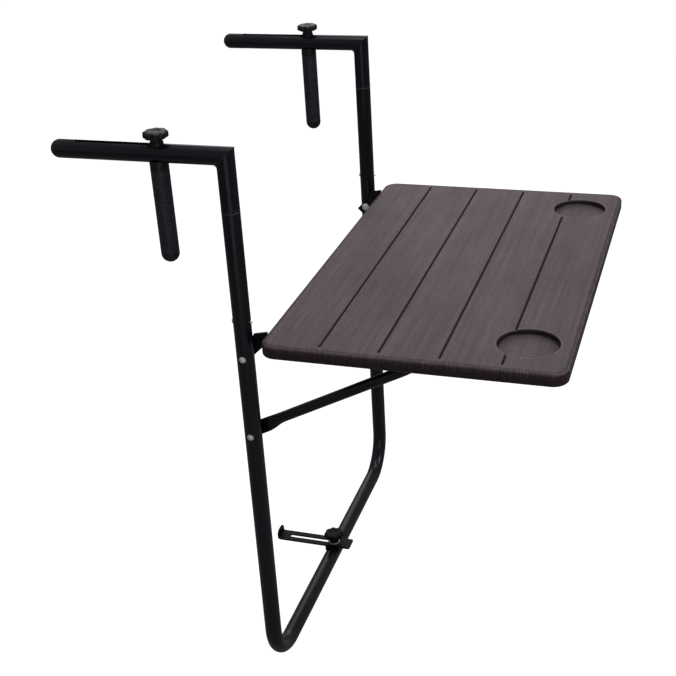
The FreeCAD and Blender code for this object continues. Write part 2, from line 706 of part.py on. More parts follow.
def make_clamp_knob(side, sign):
    """A clamp knob and the bolt moulded into it."""
    bolt_top = "(knob_neck_height + knob_head * 2 / 3)"
    knob = make_fluted_knob(
        f"clamp_knob_{side}",
        "knob_size",
        "knob_head",
        "knob_neck",
        "knob_neck_height",
        "clamp_bolt / 2",
        bolt_top,
    )
    place(knob, f"{sign} * {LEG_X}", POST_Y, KNOB_Z)
    low = f"(-clamp_bolt_reach - {KNOB_Z})"
    corners = [
        (0, low),
        ("clamp_bolt / 2 - 1", low),
        ("clamp_bolt / 2", f"{low} + 1"),
        ("clamp_bolt / 2", bolt_top),
        (0, bolt_top),
    ]
    bolt = keep(turned_piece(f"clamp_bolt_{side}", corners))
    place(bolt, f"{sign} * {LEG_X}", POST_Y, KNOB_Z)


def make_tabletop():
    """The moulded panel: skin, rim and ribs, grooves and cup recesses above, screw bosses below."""
    body = new_body("tabletop_panel")
    place(body, 0, TABLE_Y, TABLE_Z)
    half = "(tabletop_width / 2)"
    hollow_depth = "(tabletop_thickness - tabletop_skin)"

    outline = sketch_on(body, "XY_Plane", "panel_outline")
    add_rounded_rectangle(outline, half, "tabletop_depth", 0, "corner_radius")
    document.recompute()
    pad(body, outline, "tabletop_thickness", back=True)
    round_edges(body, "panel_top_round", "top_round", lambda edge: edge_is_at(edge, "Z", 0))
    bottom = -value("tabletop_thickness")
    round_edges(body, "panel_bottom_round", "bottom_round", lambda edge: edge_is_at(edge, "Z", bottom))

    hollow = sketch_on(body, "XY_Plane", "panel_hollow", "-tabletop_thickness")
    add_rounded_rectangle(hollow, half, "tabletop_depth", "tabletop_wall", "corner_radius - tabletop_wall")
    document.recompute()
    pocket(body, hollow, hollow_depth, up=True)

    rib_low = "(rib_recess - tabletop_thickness)"
    rib_height = f"({hollow_depth} - rib_recess)"
    long_rib = sketch_on(body, "XY_Plane", "long_rib", rib_low)
    add_rectangle(
        long_rib,
        f"tabletop_wall / 2 - {half}",
        f"{half} - tabletop_wall / 2",
        "-groove_first - rib_width / 2",
        "-groove_first + rib_width / 2",
    )
    document.recompute()
    row_copies(body, pad(body, long_rib, rib_height), "Y_Axis", "groove_pitch", "groove_count", back=True)
    cross_rib = sketch_on(body, "XY_Plane", "cross_rib", rib_low)
    first_cross = "(-cross_rib_pitch * (cross_rib_count - 1) / 2)"
    add_rectangle(
        cross_rib,
        f"{first_cross} - rib_width / 2",
        f"{first_cross} + rib_width / 2",
        "tabletop_wall / 2 - tabletop_depth",
        "-tabletop_wall / 2",
    )
    document.recompute()
    row_copies(body, pad(body, cross_rib, rib_height), "X_Axis", "cross_rib_pitch", "cross_rib_count")

    cup_floor = sketch_on(body, "XY_Plane", "cup_floors", "-cup_depth - tabletop_skin")
    cup_recess = sketch_on(body, "XY_Plane", "cup_recesses")
    for side, sign in SIDES:
        add_circle(cup_floor, f"{sign} * cup_spacing / 2", "-cup_setback", "cup_size / 2 + tabletop_wall")
        add_circle(cup_recess, f"{sign} * cup_spacing / 2", "-cup_setback", "cup_size / 2")
    document.recompute()
    pad(body, cup_floor, "cup_depth + tabletop_skin / 2")

    room_low = f"({PLATE_X} - flange_width - plate_fit)"
    slot_low = f"({PLATE_X} - plate_thick - plate_fit)"
    plate_high = f"({PLATE_X} + plate_fit)"
    plate_room = sketch_on(body, "XY_Plane", "plate_rooms", "-tabletop_thickness")
    for side, sign in SIDES:
        corners = [
            (f"{sign} * {room_low}", "-plate_reach - plate_fit"),
            (f"{sign} * {plate_high}", "-plate_reach - plate_fit"),
            (f"{sign} * {plate_high}", "tabletop_wall"),
            (f"{sign} * {slot_low}", "tabletop_wall"),
            (f"{sign} * {slot_low}", "-tabletop_wall / 2"),
            (f"{sign} * {room_low}", "-tabletop_wall / 2"),
        ]
        add_outline(plate_room, corners)
    document.recompute()
    pocket(body, plate_room, hollow_depth, up=True)

    add_bosses(body, "bracket", "plate_thick", bracket_screw_places())
    add_bosses(body, "catch", "catch_base", catch_screw_places())

    pocket(body, cup_recess, "cup_depth")
    floor = -value("cup_depth")
    round_edges(body, "cup_floor_rounding", "cup_floor_round", lambda edge: edge_is_at(edge, "Z", floor))
    groove = sketch_on(body, "XY_Plane", "groove")
    add_rectangle(
        groove,
        f"groove_margin - {half}",
        f"{half} - groove_margin",
        "-groove_first - groove_width / 2",
        "-groove_first + groove_width / 2",
    )
    document.recompute()
    cut = pocket(body, groove, "groove_depth")
    row_copies(body, cut, "Y_Axis", "groove_pitch", "groove_count", back=True)
    return keep(body)


def add_rounded_rectangle(sketch, half, depth, inset, radius):
    """The tabletop's outline, or the same set in by a wall: its rear edge lies along the first axis."""
    side = f"({half} - {inset})"
    rear = f"(-{inset})"
    front = f"({inset} - {depth})"
    corners = [
        (f"-{side} + {radius}", front),
        (f"{side} - ({radius})", front),
        (side, f"{front} + {radius}"),
        (side, f"{rear} - ({radius})"),
        (f"{side} - ({radius})", rear),
        (f"-{side} + {radius}", rear),
        (f"-{side}", f"{rear} - ({radius})"),
        (f"-{side}", f"{front} + {radius}"),
    ]
    add_outline(sketch, corners, {edge: (radius, 1) for edge in (1, 3, 5, 7)})


def bracket_screw_places():
    """Bound places of the bracket screws in the tabletop's own frame."""
    inboard = f"({PLATE_X} - plate_thick - (flange_width - plate_thick) / 2)"
    return [
        (f"{sign} * {inboard}", f"-bracket_screw_first - {step} * bracket_screw_pitch")
        for side, sign in SIDES
        for step in range(round(value("bracket_screw_count")))
    ]


def catch_screw_places():
    """Bound places of the catch screws in the tabletop's own frame."""
    return [
        (f"{sign} * catch_spacing / 2", f"-brace_reach + {end} * catch_screw_spacing / 2")
        for side, sign in SIDES
        for end in (-1, 1)
    ]


def add_bosses(body, name, seat, places):
    """Screw bosses from the skin down to the piece that they carry, with pilot holes."""
    low = f"({seat} - tabletop_thickness)"
    bosses = sketch_on(body, "XY_Plane", f"{name}_bosses", low)
    pilots = sketch_on(body, "XY_Plane", f"{name}_pilots", low)
    for u, v in places:
        add_circle(bosses, u, v, "boss_size / 2")
        add_circle(pilots, u, v, "screw_size / 2")
    document.recompute()
    pad(body, bosses, f"tabletop_thickness - tabletop_skin - {seat}")
    pocket(body, pilots, f"screw_length - {seat}", up=True)


def make_hinge_bracket(side, sign):
    """Flat plate from the hinge pivot into the tabletop, with a flange that is screwed up under it."""
    body = new_body(f"hinge_bracket_{side}")
    place(body, f"{sign} * {PLATE_X}", LEG_Y, HINGE_Z)
    rear = f"({TABLE_Y} - {LEG_Y})"
    low = "(hinge_drop - tabletop_thickness)"
    high = "(hinge_drop - tabletop_skin - plate_fit)"
    slant = "sqrt(0.5)"
    tail = f"(plate_tail * {slant})"
    edge = f"(plate_width / 2 * {slant})"
    knee = f"(plate_width * {slant})"
    corners = [
        (f"{tail} + {edge}", f"{edge} - {tail}"),
        (f"{tail} + {edge} - {knee}", f"{edge} - {tail} + {knee}"),
        (f"{LEG_Y} + plate_width / 5", "hinge_drop - plate_width / 4"),
        (f"{rear} + plate_fit", "hinge_drop"),
        (f"{rear} + plate_fit", high),
        (f"{rear} - plate_reach", high),
        (f"{rear} - plate_reach", low),
        (f"{tail} - {edge} - ({low} + {tail} + {edge})", low),
        (f"{tail} - {edge}", f"-{tail} - {edge}"),
    ]
    plate = sketch_on(body, "YZ_Plane", f"plate_outline_{side}")
    add_outline(plate, corners)
    add_circle(plate, 0, 0, "rivet_size / 2 + rivet_play")
    document.recompute()
    pad(body, plate, "plate_thick", back=sign > 0)
    flange = sketch_on(body, "XY_Plane", f"flange_outline_{side}", low)
    inner, outer = ("-flange_width", 0) if sign > 0 else (0, "flange_width")
    add_rectangle(flange, inner, outer, f"{rear} - plate_reach", f"{rear} - flange_start")
    holes = sketch_on(body, "XY_Plane", f"flange_holes_{side}", f"{low} + plate_thick * 2")
    for u, v in bracket_screw_places():
        if value(u) * sign > 0:
            add_circle(holes, f"{u} - {sign} * {PLATE_X}", f"{v} + {rear}", "screw_size / 2")
    document.recompute()
    pad(body, flange, "plate_thick")
    pocket(body, holes, "plate_thick * 3")
    return keep(body)


def make_brace_catch(side, sign):
    """Base set into the underside, a hook behind and under the cross tube, a low stop before it."""
    body = new_body(f"brace_catch_{side}")
    place(body, f"{sign} * catch_spacing / 2", CROSS_Y, CROSS_Z)
    low = f"({UNDERSIDE_Z} - {CROSS_Z})"
    inner = "(brace_outer / 2 + catch_play)"
    outer = f"({inner} + catch_wall)"
    corners = [
        ("-catch_length / 2", f"{low} + catch_base"),
        ("-catch_length / 2", low),
        ("-catch_lip_start - catch_lip_length", low),
        ("-catch_lip_start - catch_lip_length / 2", f"{low} - catch_lip_depth"),
        ("-catch_lip_start", f"{low} - catch_lip_depth"),
        ("-catch_lip_start", low),
        (inner, low),
        (inner, 0),
        (f"{inner} * cos(catch_wrap)", f"-{inner} * sin(catch_wrap)"),
        (f"{outer} * cos(catch_wrap)", f"-{outer} * sin(catch_wrap)"),
        (outer, 0),
        (outer, low),
        ("catch_length / 2", low),
        ("catch_length / 2", f"{low} + catch_base"),
    ]
    profile = sketch_on(body, "YZ_Plane", f"catch_profile_{side}")
    add_outline(profile, corners, {7: (inner, -1), 9: (outer, 1)})
    document.recompute()
    pad(body, profile, "catch_width", both=True)
    holes = sketch_on(body, "XY_Plane", f"catch_holes_{side}", f"{low} + catch_base * 2")
    for end in (-1, 1):
        add_circle(holes, 0, f"{end} * catch_screw_spacing / 2", "screw_size / 2")
    document.recompute()
    pocket(body, holes, "catch_base * 3")
    return keep(body)


def make_underside_screws(label, places):
    """Pan-head screws driven up into the tabletop's bosses."""
    corners = [
        (0, "-screw_head_height"),
        ("screw_head / 3", "-screw_head_height"),
        ("screw_head / 2", "-screw_head_height / 3"),
        ("screw_head / 2", 0),
        ("screw_size / 2", 0),
        ("screw_size / 2", "screw_length - screw_size / 2"),
        (0, "screw_length"),
    ]
    screws = []
    for number, (u, v) in enumerate(places, start=1):
        screw = turned_piece(f"{label}_{number}", corners)
        place(screw, u, f"{TABLE_Y} + {v}", UNDERSIDE_Z)
        screws.append(screw)
    return group(label, screws)


def make_brace():
    """The brace: a U of thin tube whose ends are pressed flat and drilled, lying along its own -Y."""
    body = new_body("brace_bail")
    place(body, 0, LEG_Y, BRACE_Z, Rotation(Vector(1, 0, 0), -1))
    bind(body, "Placement.Rotation.Angle", f"-({BRACE_RISE})")
    straight = "(brace_flat_length + brace_taper)"
    ring = sketch_on(body, "XZ_Plane", "brace_ring", straight)
    add_ring(ring, f"-{BRACE_X}", 0, "brace_outer / 2", "brace_inner / 2")
    path = sketch_on(body, "XY_Plane", "brace_path")
    corners = [
        (f"-{BRACE_X}", f"-{straight}"),
        (f"-{BRACE_X}", f"brace_bend - {BRACE_LENGTH}"),
        (f"brace_bend - {BRACE_X}", f"-{BRACE_LENGTH}"),
        (f"{BRACE_X} - brace_bend", f"-{BRACE_LENGTH}"),
        (BRACE_X, f"brace_bend - {BRACE_LENGTH}"),
        (BRACE_X, f"-{straight}"),
    ]
    add_outline(path, corners, {1: ("brace_bend", 1), 3: ("brace_bend", 1)}, closed=False)
    document.recompute()
    pipe = body.newObject("PartDesign::AdditivePipe", "brace_tube")
    pipe.Profile = ring
    pipe.Spine = (path, [])
    document.recompute()

    for side, sign in SIDES:
        face = f"({sign} * {PLATE_X})"
        back = f"({sign} * ({PLATE_X} - plate_thick))"
        low, high = (back, face) if sign > 0 else (face, back)
        flat_end = sketch_on(body, "XZ_Plane", f"brace_flat_end_{side}", "brace_flat_length")
        add_rectangle(flat_end, low, high, "-brace_flat_width / 2", "brace_flat_width / 2")
        round_end = sketch_on(body, "XZ_Plane", f"brace_round_end_{side}", straight)
        add_circle(round_end, f"{sign} * {BRACE_X}", 0, "brace_outer / 2")
        document.recompute()
        taper = body.newObject("PartDesign::AdditiveLoft", f"brace_taper_{side}")
        taper.Profile = flat_end
        taper.Sections = [round_end]
        taper.Ruled = True
        document.recompute()
        tongue = sketch_on(body, "YZ_Plane", f"brace_tongue_{side}", face)
        add_outline(
            tongue,
            [
                ("-brace_flat_length", "-brace_flat_width / 2"),
                (0, "-brace_flat_width / 2"),
                ("brace_flat_width / 2", 0),
                (0, "brace_flat_width / 2"),
                ("-brace_flat_length", "brace_flat_width / 2"),
            ],
            {1: ("brace_flat_width / 2", 1), 2: ("brace_flat_width / 2", 1)},
        )
        add_circle(tongue, 0, 0, "rivet_size / 2 + rivet_play")
        document.recompute()
        pad(body, tongue, "plate_thick", back=sign > 0)
    return keep(body)


def make_hook_saddle():
    """The block on the foot tube that gives the rail hook's strip a flat seat."""
    body = new_body("hook_saddle")
    place(body, 0, LEG_Y, FOOT_Z)
    block = sketch_on(body, "XY_Plane", "saddle_block", f"{TUBE_RADIUS} + hook_saddle_crown")
    add_rectangle(block, "-hook_width / 2", "hook_width / 2", f"-{TUBE_RADIUS}", TUBE_RADIUS)
    add_circle(block, 0, 0, "hook_bolt / 2")
    tube = sketch_on(body, "YZ_Plane", "saddle_tube")
    add_circle(tube, 0, 0, TUBE_RADIUS)
    document.recompute()
    pad(body, block, "hook_saddle_crown + hook_saddle_skirt", back=True)
    pocket(body, tube, both=True)
    return keep(body)


def make_hook_bolt():
    """The bolt that comes up through the foot tube, head below."""
    low = f"({FOOT_Z} - {TUBE_RADIUS})"
    tip = f"({HOOK_KNOB_Z} + insert_height - 1)"
    corners = [
        (0, f"{low} - hook_bolt_head_height"),
        ("hook_bolt_head / 3", f"{low} - hook_bolt_head_height"),
        ("hook_bolt_head / 2", f"{low} - hook_bolt_head_height / 3"),
        ("hook_bolt_head / 2", low),
        ("hook_bolt / 2", low),
        ("hook_bolt / 2", f"{tip} - 1"),
        ("hook_bolt / 2 - 1", tip),
        (0, tip),
    ]
    bolt = keep(turned_piece("hook_bolt", corners))
    place(bolt, 0, LEG_Y, 0)


def make_hook_strip():
    """The slotted strip with an upturned end that takes hold of the lower rail."""
    body = new_body("rail_hook_strip")
    place(body, 0, LEG_Y, HOOK_STRIP_Z)
    profile = sketch_on(body, "YZ_Plane", "strip_profile")
    bend_outer = "(hook_bend_round + hook_thick)"
    corners = [
        ("-hook_front", 0),
        (f"hook_reach - {bend_outer}", 0),
        ("hook_reach", bend_outer),
        ("hook_reach", "hook_thick + hook_tab"),
        ("hook_reach - hook_thick", "hook_thick + hook_tab"),
        ("hook_reach - hook_thick", bend_outer),
        (f"hook_reach - {bend_outer}", "hook_thick"),
        ("-hook_front", "hook_thick"),
    ]
    add_outline(profile, corners, {1: (bend_outer, 1), 5: ("hook_bend_round", -1)})
    document.recompute()
    pad(body, profile, "hook_width", both=True)
    slot = sketch_on(body, "XY_Plane", "strip_slot", "hook_thick + 1")
    add_slot(slot, 0, "hook_slot_end - hook_slot_width / 2", 0, "hook_slot_width / 2")
    document.recompute()
    pocket(body, slot, "hook_thick + 2")
    tab_top, front = value("hook_thick + hook_tab"), -value("hook_front")
    half = value("hook_width / 2")

    def at_side(edge):
        return abs(abs(edge.BoundBox.Center.x) - half) < 0.01 and edge.BoundBox.XLength < 0.01

    round_edges(
        body, "tab_corners", "hook_tab_corner", lambda edge: at_side(edge) and edge_is_at(edge, "Z", tab_top)
    )
    round_edges(
        body, "front_corners", "hook_front_corner", lambda edge: at_side(edge) and edge_is_at(edge, "Y", front)
    )
    return keep(body)


def make_hook_knob():
    """The flat washer, the knob that clamps the strip and the threaded insert in it."""
    washer = new_body("hook_washer")
    place(washer, 0, LEG_Y, HOOK_WASHER_Z)
    ring = sketch_on(washer, "XY_Plane", "hook_washer_ring")
    add_ring(ring, 0, 0, "hook_washer_size / 2", "hook_bolt / 2")
    document.recompute()
    pad(washer, ring, "hook_washer_thick")
    keep(washer)
    knob = make_fluted_knob(
        "hook_knob",
        "hook_knob_size",
        "hook_knob_head",
        "hook_knob_neck",
        "hook_knob_neck_height",
        "insert_size / 2",
        "insert_height",
    )
    place(knob, 0, LEG_Y, HOOK_KNOB_Z)
    insert = new_body("hook_knob_insert")
    place(insert, 0, LEG_Y, HOOK_KNOB_Z)
    sleeve = sketch_on(insert, "XY_Plane", "insert_ring")
    add_ring(sleeve, 0, 0, "insert_size / 2", "hook_bolt / 2 + thread_play")
    document.recompute()
    pad(insert, sleeve, "insert_height")
    keep(insert)


def make_table():
    """Every piece of the table, each as its own node."""
    make_lower_frame()
    for side, sign in SIDES:
        make_hook_tube(side, sign)
        arm_cap = make_tube_cap(f"arm_cap_{side}")
        place(arm_cap, f"{sign} * {LEG_X}", f"{LEG_Y} + arm_length", ARM_Z, Rotation(Vector(1, 0, 0), -90))
    make_joint_screws()
    make_pivot_rivets()
    make_pivot_washers()
    make_tabletop()
    for side, sign in SIDES:
        make_hinge_bracket(side, sign)
    make_underside_screws("bracket_screws", bracket_screw_places())
    for side, sign in SIDES:
        make_brace_catch(side, sign)
    make_underside_screws("catch_screws", catch_screw_places())
    make_brace()
    for side, sign in SIDES:
        make_post_tube(side, sign)
        make_post_plug(side, sign)
        make_clamp_nut(side, sign)
        post_cap = make_tube_cap(f"post_cap_{side}")
        place(post_cap, f"{sign} * {LEG_X}", POST_Y, "-post_drop", Rotation(Vector(1, 0, 0), 180))
        make_saddle_washer(side, sign)
        make_clamp_knob(side, sign)
    make_hook_saddle()
    make_hook_bolt()
    make_hook_strip()
    make_hook_knob()


def check_and_write():
    """Refuse a failed object or an unsound solid, then write one file per node."""
    document.recompute()
    failed = [item.Name for item in document.Objects if {"Invalid", "Error"} & set(item.State)]
    if failed:
        raise ValueError(f"failed objects: {failed}")
    for node in nodes:
        if node.Shape.isNull() or not node.Shape.isValid() or not node.Shape.Solids:
            raise ValueError(f"{node.Label} has no sound solid")
    os.makedirs("parts", exist_ok=True)
    for node in nodes:
        node.Shape.exportStep(f"parts/{node.Label}.step")
        print(node.Label, len(node.Shape.Solids), round(node.Shape.Volume / 1000, 2), "cm3")


make_table()
check_and_write()
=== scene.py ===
import math

import bmesh
import bpy
import numpy as np
from mathutils import Matrix, Vector
from mathutils.geometry import delaunay_2d_cdt


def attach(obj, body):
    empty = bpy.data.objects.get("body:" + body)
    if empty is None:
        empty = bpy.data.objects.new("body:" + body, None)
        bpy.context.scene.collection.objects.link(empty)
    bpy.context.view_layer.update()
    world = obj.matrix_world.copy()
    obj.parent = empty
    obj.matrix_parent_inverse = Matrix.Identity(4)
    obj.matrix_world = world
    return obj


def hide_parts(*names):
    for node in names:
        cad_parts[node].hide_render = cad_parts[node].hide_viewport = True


# A folding bar table on a balcony railing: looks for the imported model.
# Shapes are worked out in millimetres in the model's own frame, and stored in metres.
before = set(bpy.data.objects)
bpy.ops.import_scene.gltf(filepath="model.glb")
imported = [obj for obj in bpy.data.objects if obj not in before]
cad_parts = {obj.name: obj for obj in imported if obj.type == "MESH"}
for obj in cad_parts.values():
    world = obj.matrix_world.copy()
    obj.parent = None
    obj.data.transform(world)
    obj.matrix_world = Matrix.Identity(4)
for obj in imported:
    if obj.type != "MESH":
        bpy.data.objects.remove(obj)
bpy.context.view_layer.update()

MM = 0.001
FULL_TURN = 2 * math.pi
SIDES = (-1, 1)
NAMED_SIDES = (("left", -1), ("right", 1))
SHARP_ANGLE = 38  # degrees between two faces, past which their edge stays sharp

# The tubes
TUBE_R = 11.5
LEG_X = 276.0
LEG_Y = -11.5
ARM_Z = 11.5
FOOT_Z = -752.5
BEND_R = 60.0
SEAM_Z = -56.5
JOINT_SCREW_Z = -203.0
HINGE_Z = -252.5
BRACE_Z = -366.5
PIVOT_LEVELS = (HINGE_Z, BRACE_Z)
PLATE_X = 261.85  # middle of the hinge plates and of the brace's flattened ends
RIVET_FLAT = 0.9  # how deep the rivets' and the joint screws' seats are pressed into the tube
SCREW_FLAT = 0.6

# The tabletop; what lies on it is measured from its rear edge and its upper face
TOP_Y = -38.5
TOP_Z = -222.5
TOP_HALF = 300.0
TOP_DEPTH = 380.0
TOP_THICK = 18.0
TOP_CORNER = 20.0
TOP_WALL = 3.0
TOP_ROUND = 4.6
FOOT_ROUND = 2.5  # rounding at the lower end of the rim
SLOT_TOP = -3.3  # upper end of the rooms and slots for the hinge plates
SLOT_HALF = 1.9  # half a slot's width
RIB_PITCH = 2.05
RIB_STEPS = 4
RIB_DEPTH = 0.45

# The screws under the tabletop, which hold the hinge brackets and the brace's catches
BRACKET_SCREW_X = 248.85
BRACKET_SCREW_YS = (-18.0, -48.0, -78.0)
CATCH_SCREW_X = 150.0
CATCH_SCREW_YS = (-218.0, -182.0)

# The grooves: their middle lines, half their length, and how deep they are so far from the middle line
GROOVES = (-77.0, -152.0, -227.0, -302.0)
GROOVE_HALF = 286.8
GROOVE_OFFSETS = (0.0, 0.5, 0.95, 1.2, 1.4, 1.65, 2.1, 2.6)
GROOVE_LEVELS = (-1.7, -1.7, -1.55, -1.2, -0.7, -0.25, 0.0, 0.0)

# The cup recesses: their centres, their radius, and how deep they are so far from the centre
CUP_X = 228.0
CUP_Y = -323.0
CUP_R = 38.4
CUP_RADII = (0.0, 18.0, 30.0, 35.2, 36.1, 36.9, 37.5, 37.9, 38.15, 38.35, 38.65, 39.0, 39.5, 40.2)
CUP_LEVELS = (-8.0, -8.0, -8.0, -8.0, -7.8, -7.4, -6.8, -6.1, -5.2, -0.9, -0.4, -0.1, 0.0, 0.0)

# The brace, measured along its own length from its pivot: flat, then widening to the round tube
BRACE_R = 7.0
BRACE_X = 256.35
BRACE_LENGTH = 256.07
BRACE_RISE = math.radians(27.566)
BRACE_BEND = 32.0
BRACE_FLAT_END = 15.0
BRACE_ROUND_START = 41.0
BRACE_FLAT_HALF = 10.0

# The knobs: where they sit, their necks' heights, and the head that they share
CLAMP_Y = 75.0
CLAMP_KNOB_Z = 25.05
HOOK_KNOB_Z = -735.05
CLAMP_NECK = 5.2
HOOK_NECK = 8.4
KNOB_R = 15.45
KNOB_HEAD = 8.8
KNOB_NECK_R = 7.8
KNOB_LOBES = 8
KNOB_FLUTE = 1.8


# ---- Mesh helpers: every shape below is a grid of points worked out as whole arrays ----


def circle(count):
    """Angles spread evenly over a full turn."""
    return np.linspace(0, FULL_TURN, count, endpoint=False)


def skinned(grid):
    """A grid of points with the quads between its neighbouring points; each row closes on itself."""
    rows, columns = grid.shape[:2]
    row = np.arange(rows - 1)[:, None] * columns
    column = np.arange(columns)[None, :]
    after = (column + 1) % columns
    return grid, np.stack([row + column, row + after, row + columns + after, row + columns + column], -1).reshape(-1, 4)


def joined(parts):
    """The points and faces of several shapes as one list of each."""
    points, faces, start = [], [], 0
    for part_points, part_faces in parts:
        flat = np.asarray(part_points, float).reshape(-1, 3)
        points.append(flat)
        faces += (np.asarray(part_faces) + start).tolist()
        start += len(flat)
    return np.concatenate(points), faces


def moved(part, place, axes=((1, 0, 0), (0, 1, 0), (0, 0, 1))):
    """A shape put at a place, with its X, Y and Z laid along the three given axes."""
    points, faces = part
    return points @ np.asarray(axes, float) + np.asarray(place, float), faces


def smooth_step(low, high, x):
    """0 below low, 1 above high, and an S-shaped rise between them."""
    t = np.clip((x - low) / (high - low), 0, 1)
    return t * t * (3 - 2 * t)


def eased(corners, steps):
    """A profile through (u, v, setback) corners: each inner corner becomes a curve that starts its setback away."""
    corners = np.asarray(corners, float)
    t = np.linspace(0, 1, steps)[:, None]
    line = [corners[:1, :2]]
    for before, here, after in zip(corners[:-2], corners[1:-1], corners[2:]):
        corner, setback = here[:2], here[2]
        if setback == 0:
            line.append(corner[None])
            continue
        start = corner + setback * (before[:2] - corner) / np.linalg.norm(before[:2] - corner)
        end = corner + setback * (after[:2] - corner) / np.linalg.norm(after[:2] - corner)
        line.append((1 - t) ** 2 * start + 2 * t * (1 - t) * corner + t**2 * end)
    line.append(corners[-1:, :2])
    return np.concatenate(line)


def revolved(profile, segments=48):
    """Each (radius, height) of a profile carried round the Z axis."""
    profile = np.asarray(profile, float)
    turn = circle(segments)[None, :]
    radius, height = profile[:, :1], profile[:, 1:]
    return skinned(np.stack([radius * np.cos(turn), radius * np.sin(turn), height + 0 * turn], -1))


def dome_arc(rim, rise):
    """(radius, height) points of a round cap, from its rim to its pole."""
    ball = (rim**2 + rise**2) / (2 * rise)
    angle = np.linspace(math.asin(rim / ball), 0, 10)
    return np.stack([ball * np.sin(angle), ball * np.cos(angle) - (ball - rise)], 1)


def as_object(name, mesh, body, material, stands_for):
    """A mesh as a piece that rides on a body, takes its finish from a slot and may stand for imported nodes."""
    thing = bpy.data.objects.new(name, mesh)
    bpy.context.scene.collection.objects.link(thing)
    mesh.materials.clear()
    mesh.materials.append(material)
    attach(thing, body)
    if stands_for:
        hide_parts(*stands_for)
    return thing


def clean_faces(mesh, source, step, reach=2e-6, sharp=SHARP_ANGLE):
    """Fills a mesh with a source's faces: near points merged, one further step, smooth but for sharp edges."""
    shell = bmesh.new()
    shell.from_mesh(source)
    bmesh.ops.remove_doubles(shell, verts=shell.verts, dist=reach)
    step(shell)
    shell.to_mesh(mesh)
    shell.free()
    mesh.shade_smooth()
    mesh.set_sharp_from_angle(angle=math.radians(sharp))


def piece(name, body, material, parts, stands_for=(), sharp=SHARP_ANGLE):
    """A piece out of closed shapes given in millimetres, with every face turned outwards."""
    points, faces = joined(parts)
    mesh = bpy.data.meshes.new(name)
    mesh.from_pydata((points * MM).tolist(), [], faces)
    clean_faces(mesh, mesh, lambda shell: bmesh.ops.recalc_face_normals(shell, faces=shell.faces), sharp=sharp)
    as_object(name, mesh, body, material, stands_for)


def softened(node, name, body, material, width=0.3):
    """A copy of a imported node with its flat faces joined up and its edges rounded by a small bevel."""
    mesh = bpy.data.meshes.new(name)
    clean_faces(mesh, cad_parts[node].data, lambda shell: bmesh.ops.dissolve_limit(
        shell, angle_limit=math.radians(0.5), verts=shell.verts, edges=shell.edges))
    bevel = as_object(name, mesh, body, material, (node,)).modifiers.new("rounded edges", "BEVEL")
    bevel.width = width * MM
    bevel.segments = 2
    bevel.limit_method = "ANGLE"
    bevel.angle_limit = math.radians(SHARP_ANGLE)


# ---- Materials ----


class Graph:
    """Adds nodes to a node tree and links them to the sockets that are handed in."""

    def __init__(self, tree):
        self.tree = tree

    def add(self, kind, inputs=None, **settings):
        """A node with its settings; each input takes a value or a link from a socket."""
        node = self.tree.nodes.new(kind)
        for key, setting in settings.items():
            setattr(node, key, setting)
        for key, feed in (inputs or {}).items():
            if isinstance(feed, bpy.types.NodeSocket):
                self.tree.links.new(feed, node.inputs[key])
            else:
                node.inputs[key].default_value = feed
        return node

    def math(self, operation, a, b=0.0, clamp=False):
        """An operation on two numbers."""
        return self.add("ShaderNodeMath", {0: a, 1: b}, operation=operation, use_clamp=clamp).outputs[0]

    def vector(self, operation, a, b):
        """An operation on two vectors."""
        return self.add("ShaderNodeVectorMath", {0: a, 1: b}, operation=operation).outputs[0]

    def scaled(self, colour, tone):
        """A colour made lighter or darker by a tone."""
        return self.add("ShaderNodeVectorMath", {0: colour, "Scale": tone}, operation="SCALE").outputs[0]

    def combined(self, x=0.0, y=0.0, z=0.0):
        """A vector out of three numbers."""
        return self.add("ShaderNodeCombineXYZ", {0: x, 1: y, 2: z}).outputs[0]

    def apart(self, vector):
        """The three numbers of a vector."""
        return self.add("ShaderNodeSeparateXYZ", {0: vector}).outputs

    def attribute(self, name):
        """A number stored on the points of the mesh."""
        return self.add("ShaderNodeAttribute", attribute_name=name).outputs["Fac"]

    def product(self, first, *others):
        """Numbers multiplied together, one after the other."""
        for other in others:
            first = self.math("MULTIPLY", first, other)
        return first

    def total(self, first, *others):
        """Numbers added up, one after the other."""
        for other in others:
            first = self.math("ADD", first, other)
        return first

    def ranged(self, feed, low, high, to_low=0.0, to_high=1.0):
        """A number carried from one range to another and held at its ends."""
        return self.add("ShaderNodeMapRange", {0: feed, 1: low, 2: high, 3: to_low, 4: to_high}).outputs[0]

    def noise(self, where, scale, detail=2.0, rough=0.5, distortion=0.0):
        """Cloudy noise between 0 and 1."""
        feeds = {"Vector": where, "Scale": scale, "Detail": detail, "Roughness": rough, "Distortion": distortion}
        return self.add("ShaderNodeTexNoise", feeds).outputs["Fac"]

    def mix(self, share, a, b):
        """From one colour to another."""
        return self.add("ShaderNodeMix", {0: share, 6: a, 7: b}, data_type="RGBA").outputs[2]

    def blend(self, share, a, b):
        """From one number to another."""
        return self.add("ShaderNodeMix", {0: share, 2: a, 3: b}).outputs[0]

    def link(self, source, target):
        """A link between two sockets."""
        self.tree.links.new(source, target)

    def emboss(self, shader, height, distance):
        """Relief on a shader's surface, where a height of 1 stands proud by the distance in metres."""
        raised = self.add("ShaderNodeBump", {"Height": height, "Strength": 1.0, "Distance": distance})
        self.link(raised.outputs[0], shader.inputs["Normal"])


